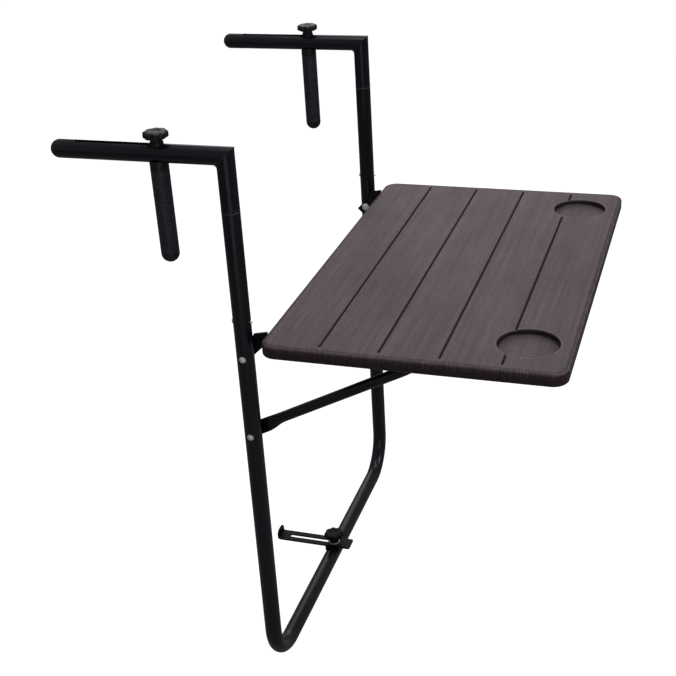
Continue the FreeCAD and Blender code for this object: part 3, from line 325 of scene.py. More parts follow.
def new_group(name, vectors, numbers, outputs):
    """A shader node group that takes vectors and numbers and hands out numbers."""
    tree = bpy.data.node_groups.new(name, "ShaderNodeTree")
    for socket in vectors:
        tree.interface.new_socket(socket, in_out="INPUT", socket_type="NodeSocketVector")
    for socket, start in numbers.items():
        tree.interface.new_socket(socket, in_out="INPUT", socket_type="NodeSocketFloat").default_value = start
    for socket in outputs:
        tree.interface.new_socket(socket, in_out="OUTPUT", socket_type="NodeSocketFloat")
    graph = Graph(tree)
    return tree, graph, graph.add("NodeGroupInput").outputs, graph.add("NodeGroupOutput").inputs


def surface_grain():
    """Fine texture of a coat or a moulding: a soft orange peel with a finer speckle over it."""
    tree, graph, given, out = new_group(
        "Surface grain", ["Position"], {"Peel Scale": 700.0, "Speckle Scale": 2600.0, "Speckle Share": 0.4},
        ["Height", "Speckle"])
    peel = graph.noise(given["Position"], given["Peel Scale"])
    speckle = graph.noise(given["Position"], given["Speckle Scale"], 1.0)
    graph.link(graph.total(peel, graph.product(speckle, given["Speckle Share"])), out["Height"])
    graph.link(speckle, out["Speckle"])
    return tree


def edge_wear():
    """Where edges have lost some of their finish: a rounded normal against the true one, broken up by noise."""
    tree, graph, given, out = new_group(
        "Edge wear", ["Position"], {"Edge Width": 0.0006, "Breakup Scale": 90.0, "Amount": 0.5}, ["Mask"])
    rounded = graph.add("ShaderNodeBevel", {"Radius": given["Edge Width"]}, samples=6).outputs[0]
    true = graph.add("ShaderNodeNewGeometry").outputs["Normal"]
    turned = graph.add("ShaderNodeVectorMath", {0: rounded, 1: true}, operation="DOT_PRODUCT").outputs["Value"]
    edge = graph.ranged(turned, 0.995, 0.90)
    patches = graph.ranged(graph.noise(given["Position"], given["Breakup Scale"], 5.0, 0.6), 0.42, 0.62)
    graph.link(graph.math("MULTIPLY", graph.product(edge, patches), given["Amount"], clamp=True), out["Mask"])
    return tree


def settled_dust():
    """A thin film of dust on faces that look up, thicker in patches."""
    tree, graph, given, out = new_group(
        "Settled dust", ["Position", "Facing"], {"Patch Scale": 14.0, "Amount": 0.2}, ["Mask"])
    looks_up = graph.ranged(graph.apart(given["Facing"])[2], 0.35, 1.0)
    patches = graph.ranged(graph.noise(given["Position"], given["Patch Scale"], 6.0, 0.65), 0.3, 0.75)
    fine = graph.ranged(graph.noise(given["Position"], 900.0), 0.35, 0.7, 0.6, 1.0)
    film = graph.product(looks_up, patches, fine)
    graph.link(graph.math("MULTIPLY", film, given["Amount"], clamp=True), out["Mask"])
    return tree


def handling_marks():
    """Soft smears and rubbed places from hands, as a change in roughness around zero."""
    tree, graph, given, out = new_group(
        "Handling marks", ["Position"], {"Smear Scale": 30.0, "Amount": 0.08}, ["Change"])
    broad = graph.noise(given["Position"], given["Smear Scale"], 4.0, 0.6, 0.8)
    streaked = graph.noise(graph.vector("MULTIPLY", given["Position"], (1.0, 1.0, 0.15)), 260.0, 3.0, 0.6)
    both = graph.total(graph.product(broad, 0.7), graph.product(streaked, 0.3))
    centred = graph.math("SUBTRACT", both, 0.5)
    graph.link(graph.product(centred, graph.product(given["Amount"], 4.0)), out["Change"])
    return tree


GRAIN, WEAR, DUST, MARKS = surface_grain(), edge_wear(), settled_dust(), handling_marks()

DUST_COLOUR = (0.3, 0.28, 0.25, 1.0)
DUST_ROUGH = 0.85
COAT_TINT = (0.9, 0.88, 1.0, 1.0)
WOOD_LIGHT = (0.112, 0.078, 0.095, 1.0)
WOOD_DARK = (0.098, 0.065, 0.081, 1.0)
# The rim's mottle: partly its own darker tone, partly painted shade on its sides
RIM_DARK = (0.03, 0.013, 0.014, 1.0)
RIM_LIGHT = (0.074, 0.042, 0.044, 1.0)
# Painted highlight on the rim's rib tips
RIB_TIP_HIGHLIGHT = (0.23, 0.185, 0.212, 1.0)
# Painted shade between the rim's ribs
RIB_GAP_SHADE = (0.01, 0.005, 0.006, 1.0)
UNDERSIDE = (0.072, 0.048, 0.058, 1.0)
# Painted shade in the long grooves
GROOVE_SHADE = (0.006, 0.004, 0.0045, 1.0)
# Painted shade on the cup recesses' walls and floors, and a painted highlight on their lips
CUP_WALL_SHADE = (0.008, 0.004, 0.005, 1.0)
CUP_FLOOR_SHADE = (0.02, 0.012, 0.015, 1.0)
CUP_LIP_HIGHLIGHT = (0.15, 0.118, 0.135, 1.0)


def new_material(name):
    """A material with its graph, its surface shader and the position and facing that its patterns read."""
    material = bpy.data.materials.new(name)
    material.use_nodes = True
    material.node_tree.nodes.clear()
    graph = Graph(material.node_tree)
    place = graph.add("ShaderNodeTexCoord").outputs
    shader = graph.add("ShaderNodeBsdfPrincipled")
    graph.add("ShaderNodeOutputMaterial", {"Surface": shader.outputs[0]})
    return material, graph, place["Object"], place["Normal"], shader


def use_group(graph, tree, inputs):
    """A shared effect placed in a material with its own values."""
    return graph.add("ShaderNodeGroup", inputs, node_tree=tree).outputs


def finish_coat(name, colour, worn, rough, peel, speckle, bump, wear, dust, metal=0.0, speckle_share=0.4,
                marks=0.06, worn_rough=0.35, specks=(0.9, 1.1), gloss=0.5):
    """A paint, plating or moulded plastic: coat grain, worn edges, hand marks and a little dust."""
    material, graph, position, facing, shader = new_material(name)
    grain = use_group(graph, GRAIN, {"Position": position, "Peel Scale": peel, "Speckle Scale": speckle,
                                     "Speckle Share": speckle_share})
    worn_edges = use_group(graph, WEAR, {"Position": position, "Amount": wear})["Mask"]
    film = use_group(graph, DUST, {"Position": position, "Facing": facing, "Amount": dust})["Mask"]
    change = use_group(graph, MARKS, {"Position": position, "Amount": marks})["Change"]
    shade = graph.ranged(graph.noise(position, 22.0, 5.0, 0.6), 0.3, 0.7, 0.86, 1.14)
    speck = graph.ranged(grain["Speckle"], 0.40, 0.66, *specks)
    tinted = graph.scaled(colour, graph.product(shade, speck))
    bare = graph.mix(worn_edges, tinted, (*worn, 1.0))
    graph.link(graph.mix(film, bare, DUST_COLOUR), shader.inputs["Base Color"])
    rubbed = graph.blend(worn_edges, graph.total(rough, change), worn_rough)
    dulled = graph.blend(film, rubbed, DUST_ROUGH)
    graph.link(graph.math("MAXIMUM", dulled, 0.05), shader.inputs["Roughness"])
    shader.inputs["Metallic"].default_value = metal
    shader.inputs["Specular IOR Level"].default_value = gloss
    shader.inputs["Specular Tint"].default_value = COAT_TINT
    graph.emboss(shader, grain["Height"], bump)
    return material


def board_grain():
    """Wood grain along X for boards side by side in Y: arches, straight streaks and pores, each board with its own."""
    tree, graph, given, out = new_group(
        "Board grain", ["Position"], {"Board Width": 0.075, "First Board": 0.378, "Ring Pitch": 0.016},
        ["Rings", "Streaks", "Pores"])
    across, depth, _ = graph.apart(given["Position"])
    from_first = graph.total(depth, given["First Board"])
    board = graph.math("FLOOR", graph.math("DIVIDE", from_first, given["Board Width"]))
    own = graph.add("ShaderNodeTexWhiteNoise", {"W": board}, noise_dimensions="1D").outputs["Value"]
    along = graph.total(across, graph.product(own, 7.0))
    aside = graph.math("SUBTRACT", from_first, graph.product(graph.total(board, 0.5), given["Board Width"]))

    def fibre_noise(drawn_out, *settings):
        """Noise on this board alone; the smaller the first number, the further it is drawn out along the board."""
        return graph.noise(graph.combined(graph.product(along, drawn_out), aside, own), *settings)

    # The rings are arches: their phase grows along the board and with the square of the way from a wandering line
    line = graph.combined(along, 0.0, own)
    wander = graph.math("SUBTRACT", graph.noise(line, 3.2), 0.5)
    off = graph.total(aside, graph.product(wander, 0.045))
    bow = graph.product(off, off, 9500.0)
    wobble = graph.product(graph.math("SUBTRACT", fibre_noise(0.16, 70.0, 3.0, 0.55), 0.5), 2.6)
    phase = graph.total(graph.math("DIVIDE", along, given["Ring Pitch"]), bow, wobble)
    wave = graph.math("SINE", graph.product(phase, FULL_TURN))
    fading = graph.ranged(graph.noise(line, 5.0), 0.36, 0.60, 0.25, 1.0)
    graph.link(graph.product(graph.ranged(wave, -0.2, 1.0), fading), out["Rings"])

    broad = graph.ranged(fibre_noise(0.03, 150.0), 0.32, 0.68)
    narrow = graph.ranged(fibre_noise(0.03, 620.0, 2.0, 0.6), 0.32, 0.68)
    graph.link(graph.total(graph.product(broad, 0.6), graph.product(narrow, 0.4)), out["Streaks"])
    graph.link(graph.ranged(fibre_noise(0.12, 1500.0, 2.0, 0.6), 0.50, 0.64), out["Pores"])
    return tree


def over_top(level):
    """A level over the tabletop's upper face, given in millimetres, as a height in metres in the model's frame."""
    return (TOP_Z + level) * MM


def past_cup(reach):
    """A distance in metres from the middle of a cup recess, given in millimetres past the recess's edge."""
    return (CUP_R + reach) * MM


def wood_colour(graph, position, wood):
    """Brown with paler and darker patches, streaks, rings and pores."""
    patch = graph.ranged(graph.noise(position, 9.0, 4.0, 0.55), 0.35, 0.68)
    streaked = graph.ranged(wood["Streaks"], 0.0, 1.0, 0.76, 1.24)
    ringed = graph.ranged(wood["Rings"], 0.0, 1.0, 1.10, 0.74)
    pored = graph.ranged(wood["Pores"], 0.0, 1.0, 1.0, 0.80)
    return graph.scaled(graph.mix(patch, WOOD_LIGHT, WOOD_DARK), graph.product(streaked, ringed, pored))


def rim_colour(graph, position, up, height, upper):
    """The upper face's colour, carried on to rib tips with a painted highlight, a mottled rim that is partly its own
    darker tone and partly painted shade and grows lighter towards the top as painted light, painted shade in the gaps
    and a dull underside.
    """
    mottle = graph.ranged(graph.noise(position, 260.0, 4.0, 0.6), 0.36, 0.64)
    # Painted light: the rim's sides grow up to 2.1 times lighter towards the top
    painted_top_light = graph.ranged(height, over_top(-11.0), over_top(-4.0), 1.0, 2.1)
    mottled = graph.scaled(graph.mix(mottle, RIM_DARK, RIM_LIGHT), painted_top_light)
    # Painted highlight on the faces that look up; the sides that look outwards keep the darker mottle, partly painted
    # shade
    tips = graph.mix(graph.ranged(up, 0.80, 0.97), RIB_TIP_HIGHLIGHT, upper)
    edge = graph.mix(graph.ranged(up, 0.15, 0.60), mottled, tips)
    beneath = graph.mix(graph.ranged(up, 0.20, 0.62), UNDERSIDE, upper)
    side = graph.mix(graph.attribute("on_rim"), beneath, edge)
    # Painted shade: the colour is darkened almost to black in the gaps between ribs and along the shoulder line
    return graph.mix(graph.ranged(graph.attribute("rib_gap_shade"), 0.10, 0.5, 0.0, 0.97), side, RIB_GAP_SHADE)


def groove_mask(graph, inner, depth, height, in_cup):
    """1 where a point is sunk below the upper face, clear of the rim, and not as deep as a cup recess."""
    sunk = graph.ranged(height, over_top(-1.0), over_top(-0.25), 1.0, 0.0)
    clear_side = graph.ranged(inner, (TOP_HALF - 9.0) * MM, (TOP_HALF - 8.0) * MM, 1.0, 0.0)
    clear_rear = graph.ranged(depth, (TOP_Y - 9.0) * MM, (TOP_Y - 8.0) * MM, 1.0, 0.0)
    clear_front = graph.ranged(depth, (TOP_Y - TOP_DEPTH + 8.0) * MM, (TOP_Y - TOP_DEPTH + 9.0) * MM)
    on_top = graph.product(clear_side, graph.product(clear_rear, clear_front))
    return graph.product(sunk, graph.math("SUBTRACT", 1.0, in_cup), on_top)


def cup_colour(graph, up, height, from_cup, in_cup, around):
    """A colour with painted shade on each recess's wall and on its floor near the wall, and a painted highlight along
    its lip, laid over it; and where that lip lies.
    """
    above_floor = graph.ranged(height, over_top(-8.9), over_top(-8.5))
    recess = graph.product(in_cup, above_floor, graph.ranged(from_cup, past_cup(0.0), past_cup(0.6), 1.0, 0.0))
    # Painted shade: the wall is darkened almost to black
    wall = graph.product(recess, graph.ranged(up, 0.75, 0.99, 0.92, 0.0))
    # Painted shade: the floor darkens towards the wall
    painted_floor_shade = graph.product(graph.ranged(from_cup, past_cup(-10.4), past_cup(-1.4), 0.0, 0.45), recess)
    floored = graph.mix(painted_floor_shade, graph.mix(wall, around, CUP_WALL_SHADE), CUP_FLOOR_SHADE)
    outside = graph.product(graph.ranged(from_cup, past_cup(1.2), past_cup(2.0), 1.0, 0.0),
                            graph.math("SUBTRACT", 1.0, in_cup))
    # Painted highlight: a pale line along the lip
    lip = graph.product(graph.ranged(from_cup, past_cup(-0.3), past_cup(0.1)), outside)
    return graph.mix(graph.product(lip, 0.8), floored, CUP_LIP_HIGHLIGHT), lip


def wood_look():
    """Moulded plastic with an embossed wood grain, with painted shade in the long grooves and between the ribs of its
    rim.
    """
    material, graph, position, facing, shader = new_material("wood_look_plastic")
    wood = use_group(graph, board_grain(), {"Position": position})
    across, depth, height = graph.apart(position)
    inner = graph.math("ABSOLUTE", across)
    up = graph.apart(facing)[2]
    offset = graph.vector("SUBTRACT", graph.combined(inner, depth), (CUP_X * MM, (TOP_Y + CUP_Y) * MM, 0))
    from_cup = graph.add("ShaderNodeVectorMath", {0: offset}, operation="LENGTH").outputs["Value"]
    in_cup = graph.ranged(height, over_top(-2.2), over_top(-1.9), 1.0, 0.0)
    in_groove = groove_mask(graph, inner, depth, height, in_cup)

    ribbed = rim_colour(graph, position, up, height, wood_colour(graph, position, wood))
    # Painted shade: the grooves are darkened almost to black
    grooved = graph.mix(graph.product(in_groove, 0.93), ribbed, GROOVE_SHADE)
    lipped, lip = cup_colour(graph, up, height, from_cup, in_cup, grooved)
    film = use_group(graph, DUST, {"Position": position, "Facing": facing, "Amount": 0.02})["Mask"]
    graph.link(graph.mix(film, lipped, DUST_COLOUR), shader.inputs["Base Color"])

    relief = graph.total(graph.product(wood["Rings"], 0.5), graph.product(wood["Streaks"], 0.35))
    relief = graph.math("SUBTRACT", relief, graph.product(wood["Pores"], 0.30))
    change = use_group(graph, MARKS, {"Position": position, "Amount": 0.05})["Change"]
    dull = graph.total(graph.ranged(relief, -0.2, 0.8, 0.58, 0.46), change)
    rubbed = graph.product(graph.math("MAXIMUM", lip, graph.ranged(up, 0.80, 0.97, 1.0, 0.0)), -0.22)
    graph.link(graph.total(dull, rubbed, graph.product(in_groove, 0.4)), shader.inputs["Roughness"])
    shader.inputs["Specular IOR Level"].default_value = 0.32

    grain = use_group(graph, GRAIN, {"Position": position, "Peel Scale": 1500.0, "Speckle Share": 0.5})
    grained = graph.product(relief, graph.ranged(up, 0.80, 0.98))
    graph.emboss(shader, graph.total(grained, graph.product(grain["Height"], 0.16)), 0.00022)
    return material


frame_coat = finish_coat(
    "semi_gloss_powder_coat", colour=(0.0044, 0.0041, 0.0082), worn=(0.1, 0.1, 0.105), rough=0.26, peel=620,
    speckle=2400, bump=2e-5, wear=0.35, dust=0.02, speckle_share=0.25)
post_coat = finish_coat(
    "textured_powder_coat", colour=(0.011, 0.0106, 0.015), worn=(0.09, 0.09, 0.095), rough=0.46, peel=420,
    speckle=900, bump=2.2e-4, wear=0.3, dust=0.03, speckle_share=1.0, specks=(0.2, 5.0))
bracket_coat = finish_coat(
    "bracket_paint", colour=(0.0045, 0.0044, 0.006), worn=(0.16, 0.16, 0.165), rough=0.42, peel=800,
    speckle=2600, bump=3e-5, wear=0.4, dust=0.008, gloss=0.3)
cap_plastic = finish_coat(
    "cap_plastic", colour=(0.006, 0.0058, 0.008), worn=(0.035, 0.035, 0.037), rough=0.4, peel=500,
    speckle=3000, bump=3e-5, wear=0.3, dust=0.04)
knob_plastic = finish_coat(
    "knob_plastic", colour=(0.008, 0.0079, 0.0115), worn=(0.05, 0.05, 0.053), rough=0.4, peel=1100,
    speckle=3200, bump=7e-5, wear=0.5, dust=0.012, speckle_share=0.8, specks=(0.6, 1.8), gloss=0.42)
# Painted shade: darker, less glossy copies of the knob plastic and the bracket paint, for the hook parts in the
# tabletop's shade
painted_shade_hook_plastic = finish_coat(
    "matt_hook_plastic_painted_shade", colour=(0.003, 0.0029, 0.004), worn=(0.035, 0.035, 0.037), rough=0.46, peel=1100,
    speckle=3200, bump=5e-5, wear=0.3, dust=0.004, speckle_share=0.8, gloss=0.16)
painted_shade_hook_paint = finish_coat(
    "matt_hook_paint_painted_shade", colour=(0.0032, 0.0031, 0.0042), worn=(0.1, 0.1, 0.105), rough=0.46, peel=800,
    speckle=2600, bump=3e-5, wear=0.3, dust=0.004, gloss=0.18)
zinc_plate = finish_coat(
    "bright_zinc", colour=(0.98, 0.98, 0.96), worn=(0.8, 0.79, 0.77), rough=0.2, peel=900, speckle=4000,
    bump=1e-5, wear=0.1, dust=0.0, metal=0.55, marks=0.04, worn_rough=0.28, specks=(0.96, 1.04))
# Painted highlight: a pale grey coat for the ring below the leg joint, standing in for the seam's highlight line, with
# worn edges as well
joint_ring_wear_and_highlight = finish_coat(
    "joint_ring_wear_and_painted_highlight", colour=(0.075, 0.075, 0.079), worn=(0.18, 0.18, 0.185), rough=0.34, peel=620,
    speckle=2400, bump=2e-5, wear=0.9, dust=0.0, speckle_share=0.25)
washer_plastic = finish_coat(
    "washer_nylon", colour=(0.04, 0.04, 0.04), worn=(0.07, 0.07, 0.07), rough=0.45, peel=900, speckle=3000,
    bump=2e-5, wear=0.2, dust=0.0)
tabletop_finish = wood_look()

# ---- Frame tubes ----


def lower_frame_tube():
    """A round section carried down one leg, round the foot and up the other; rivets and screws have pressed flats."""
    near_parts = [level + np.linspace(-7, 7, 29) for level in (*PIVOT_LEVELS, JOINT_SCREW_Z)]
    end = SEAM_Z - np.array([1.6, 1.1, 0.7, 0.35, 0.12, 0.0])
    levels = np.unique(np.round(np.concatenate([np.arange(FOOT_Z + BEND_R, SEAM_Z - 3, 14.0), *near_parts, end]), 3))
    bend = np.linspace(0, math.pi / 2, 29)[1:-1]
    foot = np.linspace(0, LEG_X - BEND_R, 16)
    x = np.r_[foot, foot[-1] + BEND_R * np.sin(bend), np.full(len(levels), LEG_X)]
    z = np.r_[0 * foot, BEND_R - BEND_R * np.cos(bend), levels - FOOT_Z] + FOOT_Z
    out_x = np.r_[0 * foot, np.sin(bend), np.ones(len(levels))]
    out_z = np.r_[0 * foot - 1, -np.cos(bend), np.zeros(len(levels))]
    mirror = slice(None, 0, -1)
    x, out_x = np.r_[-x[mirror], x], np.r_[-out_x[mirror], out_x]
    z, out_z = np.r_[z[mirror], z], np.r_[out_z[mirror], out_z]
    drawn_in = 0.55 * smooth_step(-1.0, 0.0, z - SEAM_Z) ** 2
    radius = np.r_[0.0, TUBE_R - drawn_in, 0.0][:, None]
    x, z = np.r_[x[0], x, x[-1]], np.r_[z[0], z, z[-1]]
    out_x, out_z = np.r_[out_x[0], out_x, out_x[-1]], np.r_[out_z[0], out_z, out_z[-1]]
    turn = circle(80)[None, :]
    out, side = radius * np.cos(turn), radius * np.sin(turn)
    on_leg = np.abs(out_x)[:, None] > 0.999
    for level in PIVOT_LEVELS:
        reach = np.hypot(z[:, None] - level, side)
        pressed = TUBE_R - RIVET_FLAT + 3.0 * smooth_step(4.4, 6.4, reach)
        out = np.where(on_leg & (out > 0), np.minimum(out, pressed), out)
    reach = np.hypot(z[:, None] - JOINT_SCREW_Z, out)
    pressed = TUBE_R - SCREW_FLAT + 3.0 * smooth_step(4.0, 5.6, reach)
    side = np.where(on_leg & (side > 0), np.minimum(side, pressed), side)
    return skinned(np.stack([x[:, None] + out * out_x[:, None], LEG_Y + side, z[:, None] + out * out_z[:, None]], -1))


def corner_weld(sign):
    """A weld round the mitred corner, from the arm over a rippled crest to the leg, wider in the crotch."""
    turn = circle(280)[:, None]
    crotch = np.maximum(np.cos(turn), 0) ** 2
    width = (1.1 + 3.6 * crotch)[..., None]
    crest = 0.95 - 0.5 * crotch + 0.22 * np.sin(46 * turn) + 0.10 * np.sin(17 * turn + 1)
    seam = np.stack([TUBE_R * np.sin(turn), TUBE_R * np.cos(turn), -TUBE_R * np.cos(turn)], -1)
    slant = 0.70711 * np.cos(turn)
    out = np.stack([np.sin(turn), slant, -slant], -1)
    on_arm = seam + width * np.array((0.0, 1.0, 0.0)) - 0.06 * out
    on_leg = seam - width * np.array((0.0, 0.0, 1.0)) - 0.06 * out
    top = seam + crest[..., None] * out
    t = np.linspace(0, 1, 7)[None, :, None]
    over = (1 - t) ** 2 * on_arm + 2 * t * (1 - t) * top + t**2 * on_leg
    grid = np.concatenate([over, seam - 0.9 * out], 1)
    return moved(skinned(np.concatenate([grid, grid[:1]])), (sign * LEG_X, LEG_Y, ARM_Z))


def seam_ring(sign, height):
    """A narrow raised ring round the leg, at a height over the joint of its lower and upper tube."""
    profile = eased([(TUBE_R - 0.8, -0.75, 0), (TUBE_R + 0.22, -0.45, 0.3), (TUBE_R + 0.22, 0.45, 0.3),
                     (TUBE_R - 0.8, 0.75, 0)], 4)
    profile = np.concatenate([profile, profile[:1]])
    return moved(revolved(profile, 80), (sign * LEG_X, LEG_Y, SEAM_Z + height))


piece("leg_and_foot_tube", "frame", frame_coat, [lower_frame_tube()], ["lower_frame"])
for side, sign in NAMED_SIDES:
    piece(f"corner_weld_{side}", "frame", frame_coat, [corner_weld(sign)])
    piece(f"leg_joint_collar_{side}", "frame", frame_coat, [seam_ring(sign, height=2.2)])
    # The ring below the joint is pale grey as painted highlight
    piece(f"leg_joint_ring_{side}", "frame", joint_ring_wear_and_highlight, [seam_ring(sign, height=-1.0)])

# ---- Rivets, screws and washers ----


def cross_head(radius, height, shank, length):
    """A pan head with a cross recess over a plain shank: rings and rays, sunk where the cross lies."""
    ring = np.r_[0.0, np.linspace(0.06, 0.72, 14), 0.84, 0.93, 0.985, 1.0][:, None] * radius
    turn = circle(64)[None, :]
    x, y = ring * np.cos(turn), ring * np.sin(turn)
    crown = height * (1 - 0.55 * (ring / radius) ** 3.2) + 0 * turn
    arm, half = 0.62 * radius, 0.13 * radius

    def slot(u, v):
        """1 in one slot of the cross, which lies along v, and 0 outside it."""
        return smooth_step(half * 1.7, half * 0.7, np.abs(u)) * smooth_step(arm * 1.1, arm * 0.85, np.abs(v))

    cross = np.maximum(slot(x, y), slot(y, x))
    grid = np.stack([x, y, crown - 0.55 * height * cross], -1)
    below = ((radius, height * 0.16), (radius * 0.97, 0.0), (shank, 0.0), (shank, -length), (0.0, -length))
    return skinned(np.concatenate([grid, revolved(below, 64)[0]]))


def rivet(sign, level):
    """A dome outside the leg and a wider one inside it, on one shank; each has a narrow flat lip."""
    inner, outer = -16.8, 10.6
    inner_dome = dome_arc(5.8, 2.6)[::-1] * (1, -1) + (0, inner - 0.2)
    outer_dome = dome_arc(4.35, 2.6) + (0, outer + 0.2)
    inner_lip = [(6.0, inner - 0.12), (5.95, inner), (3.0, inner)]
    outer_lip = [(3.0, outer), (4.45, outer), (4.5, outer + 0.12)]
    profile = np.concatenate([inner_dome, inner_lip, outer_lip, outer_dome])
    return moved(revolved(profile, 48), (sign * LEG_X, LEG_Y, level), ((0, 0, -sign), (0, 1, 0), (sign, 0, 0)))


def joint_screw(sign):
    """A cross head behind the leg, and a threaded point that comes out in front."""
    behind = (sign * LEG_X, LEG_Y + TUBE_R - SCREW_FLAT, JOINT_SCREW_Z)
    in_front = (sign * LEG_X, LEG_Y - TUBE_R + 0.05, JOINT_SCREW_Z)
    along = np.linspace(0, 3.5, 29)
    thread = 0.22 * np.abs(((along / 0.9) % 1.0) * 2 - 1)
    taper = np.interp(along, [0, 1.0, 3.5], [1.9, 1.75, 0.25])
    body = np.stack([taper - thread * (taper > 0.5), along], 1)
    profile = np.concatenate([[(0, -0.5), (1.9, -0.5)], body, [(0, 3.55)]])
    head = cross_head(radius=3.9, height=2.3, shank=2.0, length=3.0)
    return [moved(head, behind, ((1, 0, 0), (0, 0, -1), (0, 1, 0))),
            moved(revolved(profile, 24), in_front, ((1, 0, 0), (0, 0, 1), (0, -1, 0)))]


def pivot_ring(sign, level):
    """A thin washer with rounded edges between a leg and the flat plate inside it."""
    profile = eased([(3.02, 0.5, 0), (3.02, 0.0, 0.15), (7.0, 0.0, 0.3), (7.0, 1.0, 0.3), (3.02, 1.0, 0.15),
                     (3.02, 0.5, 0)], 4)
    inner_side = (sign * (LEG_X - TUBE_R), LEG_Y, level)
    return moved(revolved(profile), inner_side, ((0, 0, sign), (0, 1, 0), (-sign, 0, 0)))


pivots = [(sign, level) for sign in SIDES for level in PIVOT_LEVELS]
piece("polished_rivets", "frame", zinc_plate, [rivet(*pivot) for pivot in pivots], ["pivot_rivets"])
piece("leg_joint_screws", "frame", zinc_plate, joint_screw(-1) + joint_screw(1), ["joint_screws"])
piece("pivot_rings", "frame", washer_plastic, [pivot_ring(*pivot) for pivot in pivots],
      ["pivot_washers"])

UNDER_SCREWS = {"bracket": (BRACKET_SCREW_X, BRACKET_SCREW_YS), "catch": (CATCH_SCREW_X, CATCH_SCREW_YS)}
for holder, (aside, rows) in UNDER_SCREWS.items():
    head = cross_head(radius=4.0, height=2.4, shank=2.0, length=4.0)
    heads = [moved(head, (sign * aside, TOP_Y + y, TOP_Z - TOP_THICK), ((1, 0, 0), (0, -1, 0), (0, 0, -1)))
             for sign in SIDES for y in rows]
    piece(f"{holder}_screw_heads", "tabletop", zinc_plate, heads, [f"{holder}_screws"])

# ---- Brace ----


def brace_tube():
    """A round section carried along a U; towards each pivot it is pressed flat and ends in a half round."""
    tip = BRACE_FLAT_HALF * np.cos(np.linspace(0, math.pi / 2, 14))
    straight = np.r_[-tip, np.linspace(0, BRACE_FLAT_END, 5)[1:],
                     np.linspace(BRACE_FLAT_END, BRACE_ROUND_START, 18)[1:],
                     np.linspace(BRACE_ROUND_START, BRACE_LENGTH - BRACE_BEND, 12)[1:]]
    bend = np.linspace(0, math.pi / 2, 21)[1:]
    corner = BRACE_X - BRACE_BEND
    cross = np.linspace(corner, 0, 12)[1:]
    along = np.r_[straight, BRACE_LENGTH - BRACE_BEND * (1 - np.sin(bend)), np.full(len(cross), BRACE_LENGTH)]
    x = np.r_[np.full(len(straight), BRACE_X), corner + BRACE_BEND * np.cos(bend), cross]
    out_x = np.r_[np.ones(len(straight)), np.cos(bend), np.zeros(len(cross))]
    out_along = np.r_[np.zeros(len(straight)), np.sin(bend), np.ones(len(cross))]
    mirror = slice(-2, None, -1)
    along, x = np.r_[along, along[mirror]], np.r_[x, -x[mirror]]
    out_x, out_along = np.r_[out_x, -out_x[mirror]], np.r_[out_along, out_along[mirror]]
    flat = 1 - smooth_step(BRACE_FLAT_END, BRACE_ROUND_START, along)[:, None]
    turn = circle(56)[None, :]
    cosine, sine = np.cos(turn), np.sin(turn)
    at_tip = np.minimum(along, 0) ** 2 / (BRACE_FLAT_HALF**2 + 0.2)
    half_width = BRACE_FLAT_HALF * np.sqrt(np.clip(1 - at_tip, 0, 1))[:, None]
    thickness = np.minimum(1.5, 0.4 + 0.6 * half_width)
    pressed_out = thickness * np.tanh(3.2 * cosine) / math.tanh(3.2)
    pressed_up = half_width * np.sign(sine) * np.abs(sine) ** 0.82
    out = flat * pressed_out + (1 - flat) * BRACE_R * cosine
    up = flat * pressed_up + (1 - flat) * BRACE_R * sine
    shift = (PLATE_X - BRACE_X) * flat * np.sign(x)[:, None]
    across = x[:, None] + shift + out * out_x[:, None]
    length = along[:, None] + out * out_along[:, None]
    grid = np.stack([across, -length * math.cos(BRACE_RISE) + up * math.sin(BRACE_RISE),
                     length * math.sin(BRACE_RISE) + up * math.cos(BRACE_RISE)], -1)
    first, last = (row.mean(1, keepdims=True) + 0 * row for row in (grid[:1], grid[-1:]))
    return moved(skinned(np.concatenate([first, grid, last])), (0, LEG_Y, BRACE_Z))


piece("brace_tube", "brace", frame_coat, [brace_tube()], ["brace_bail"], sharp=50)

# ---- Tabletop ----


def rim_columns():
    """Round the tabletop: points that the corner arcs turn about, the way outwards, and the depth of each rib gap."""
    right, rear, front = TOP_HALF - TOP_CORNER, -TOP_CORNER, TOP_CORNER - TOP_DEPTH
    corners = np.array([(right, rear), (-right, rear), (-right, front), (right, front)])
    arc = TOP_CORNER * math.pi / 2
    spacing = RIB_PITCH / RIB_STEPS
    core, facing, distance, start = [], [], [], 0.0
    for number, here in enumerate(corners):
        after = corners[(number + 1) % 4]
        side = math.pi / 2 * (number + 1)
        straight = rear - front if number % 2 else 2 * right
        for length, way, turned in ((straight, after - here, 0), (arc, 0, math.pi / 2)):
            count = round(length / spacing)
            share = np.arange(count) / count
            core.append((after if turned else here) + share[:, None] * way)
            facing.append(side + share * turned)
            distance.append(start + share * length)
            start += length
    facing, distance = np.concatenate(facing), np.concatenate(distance)
    count = round(start / RIB_PITCH)
    phase = distance / start * count
    chance = np.random.default_rng(7)
    strength = 0.60 + 0.40 * chance.random(count)[phase.astype(int) % count]
    gap = strength * (0.5 + 0.5 * np.cos(FULL_TURN * phase))
    wave = 0.5 + 0.5 * np.sin(FULL_TURN * distance / 61.0) * np.sin(FULL_TURN * distance / 23.0 + 1)
    return np.concatenate(core), np.stack([np.cos(facing), np.sin(facing)], 1), gap * (0.7 + 0.3 * wave)


RIM_CORE, RIM_FACING, RIM_GAPS = rim_columns()


def rim_points(inset, height, depth=0.0, slope=0.0):
    """One line round the tabletop at an inset and a height, sunk between the ribs square to the slope there."""
    sunk = depth * RIB_DEPTH * RIM_GAPS
    reach = (TOP_CORNER - inset - sunk * math.sin(slope))[:, None]
    level = height - sunk * math.cos(slope)
    return np.concatenate([RIM_CORE + reach * RIM_FACING, level[:, None]], 1)


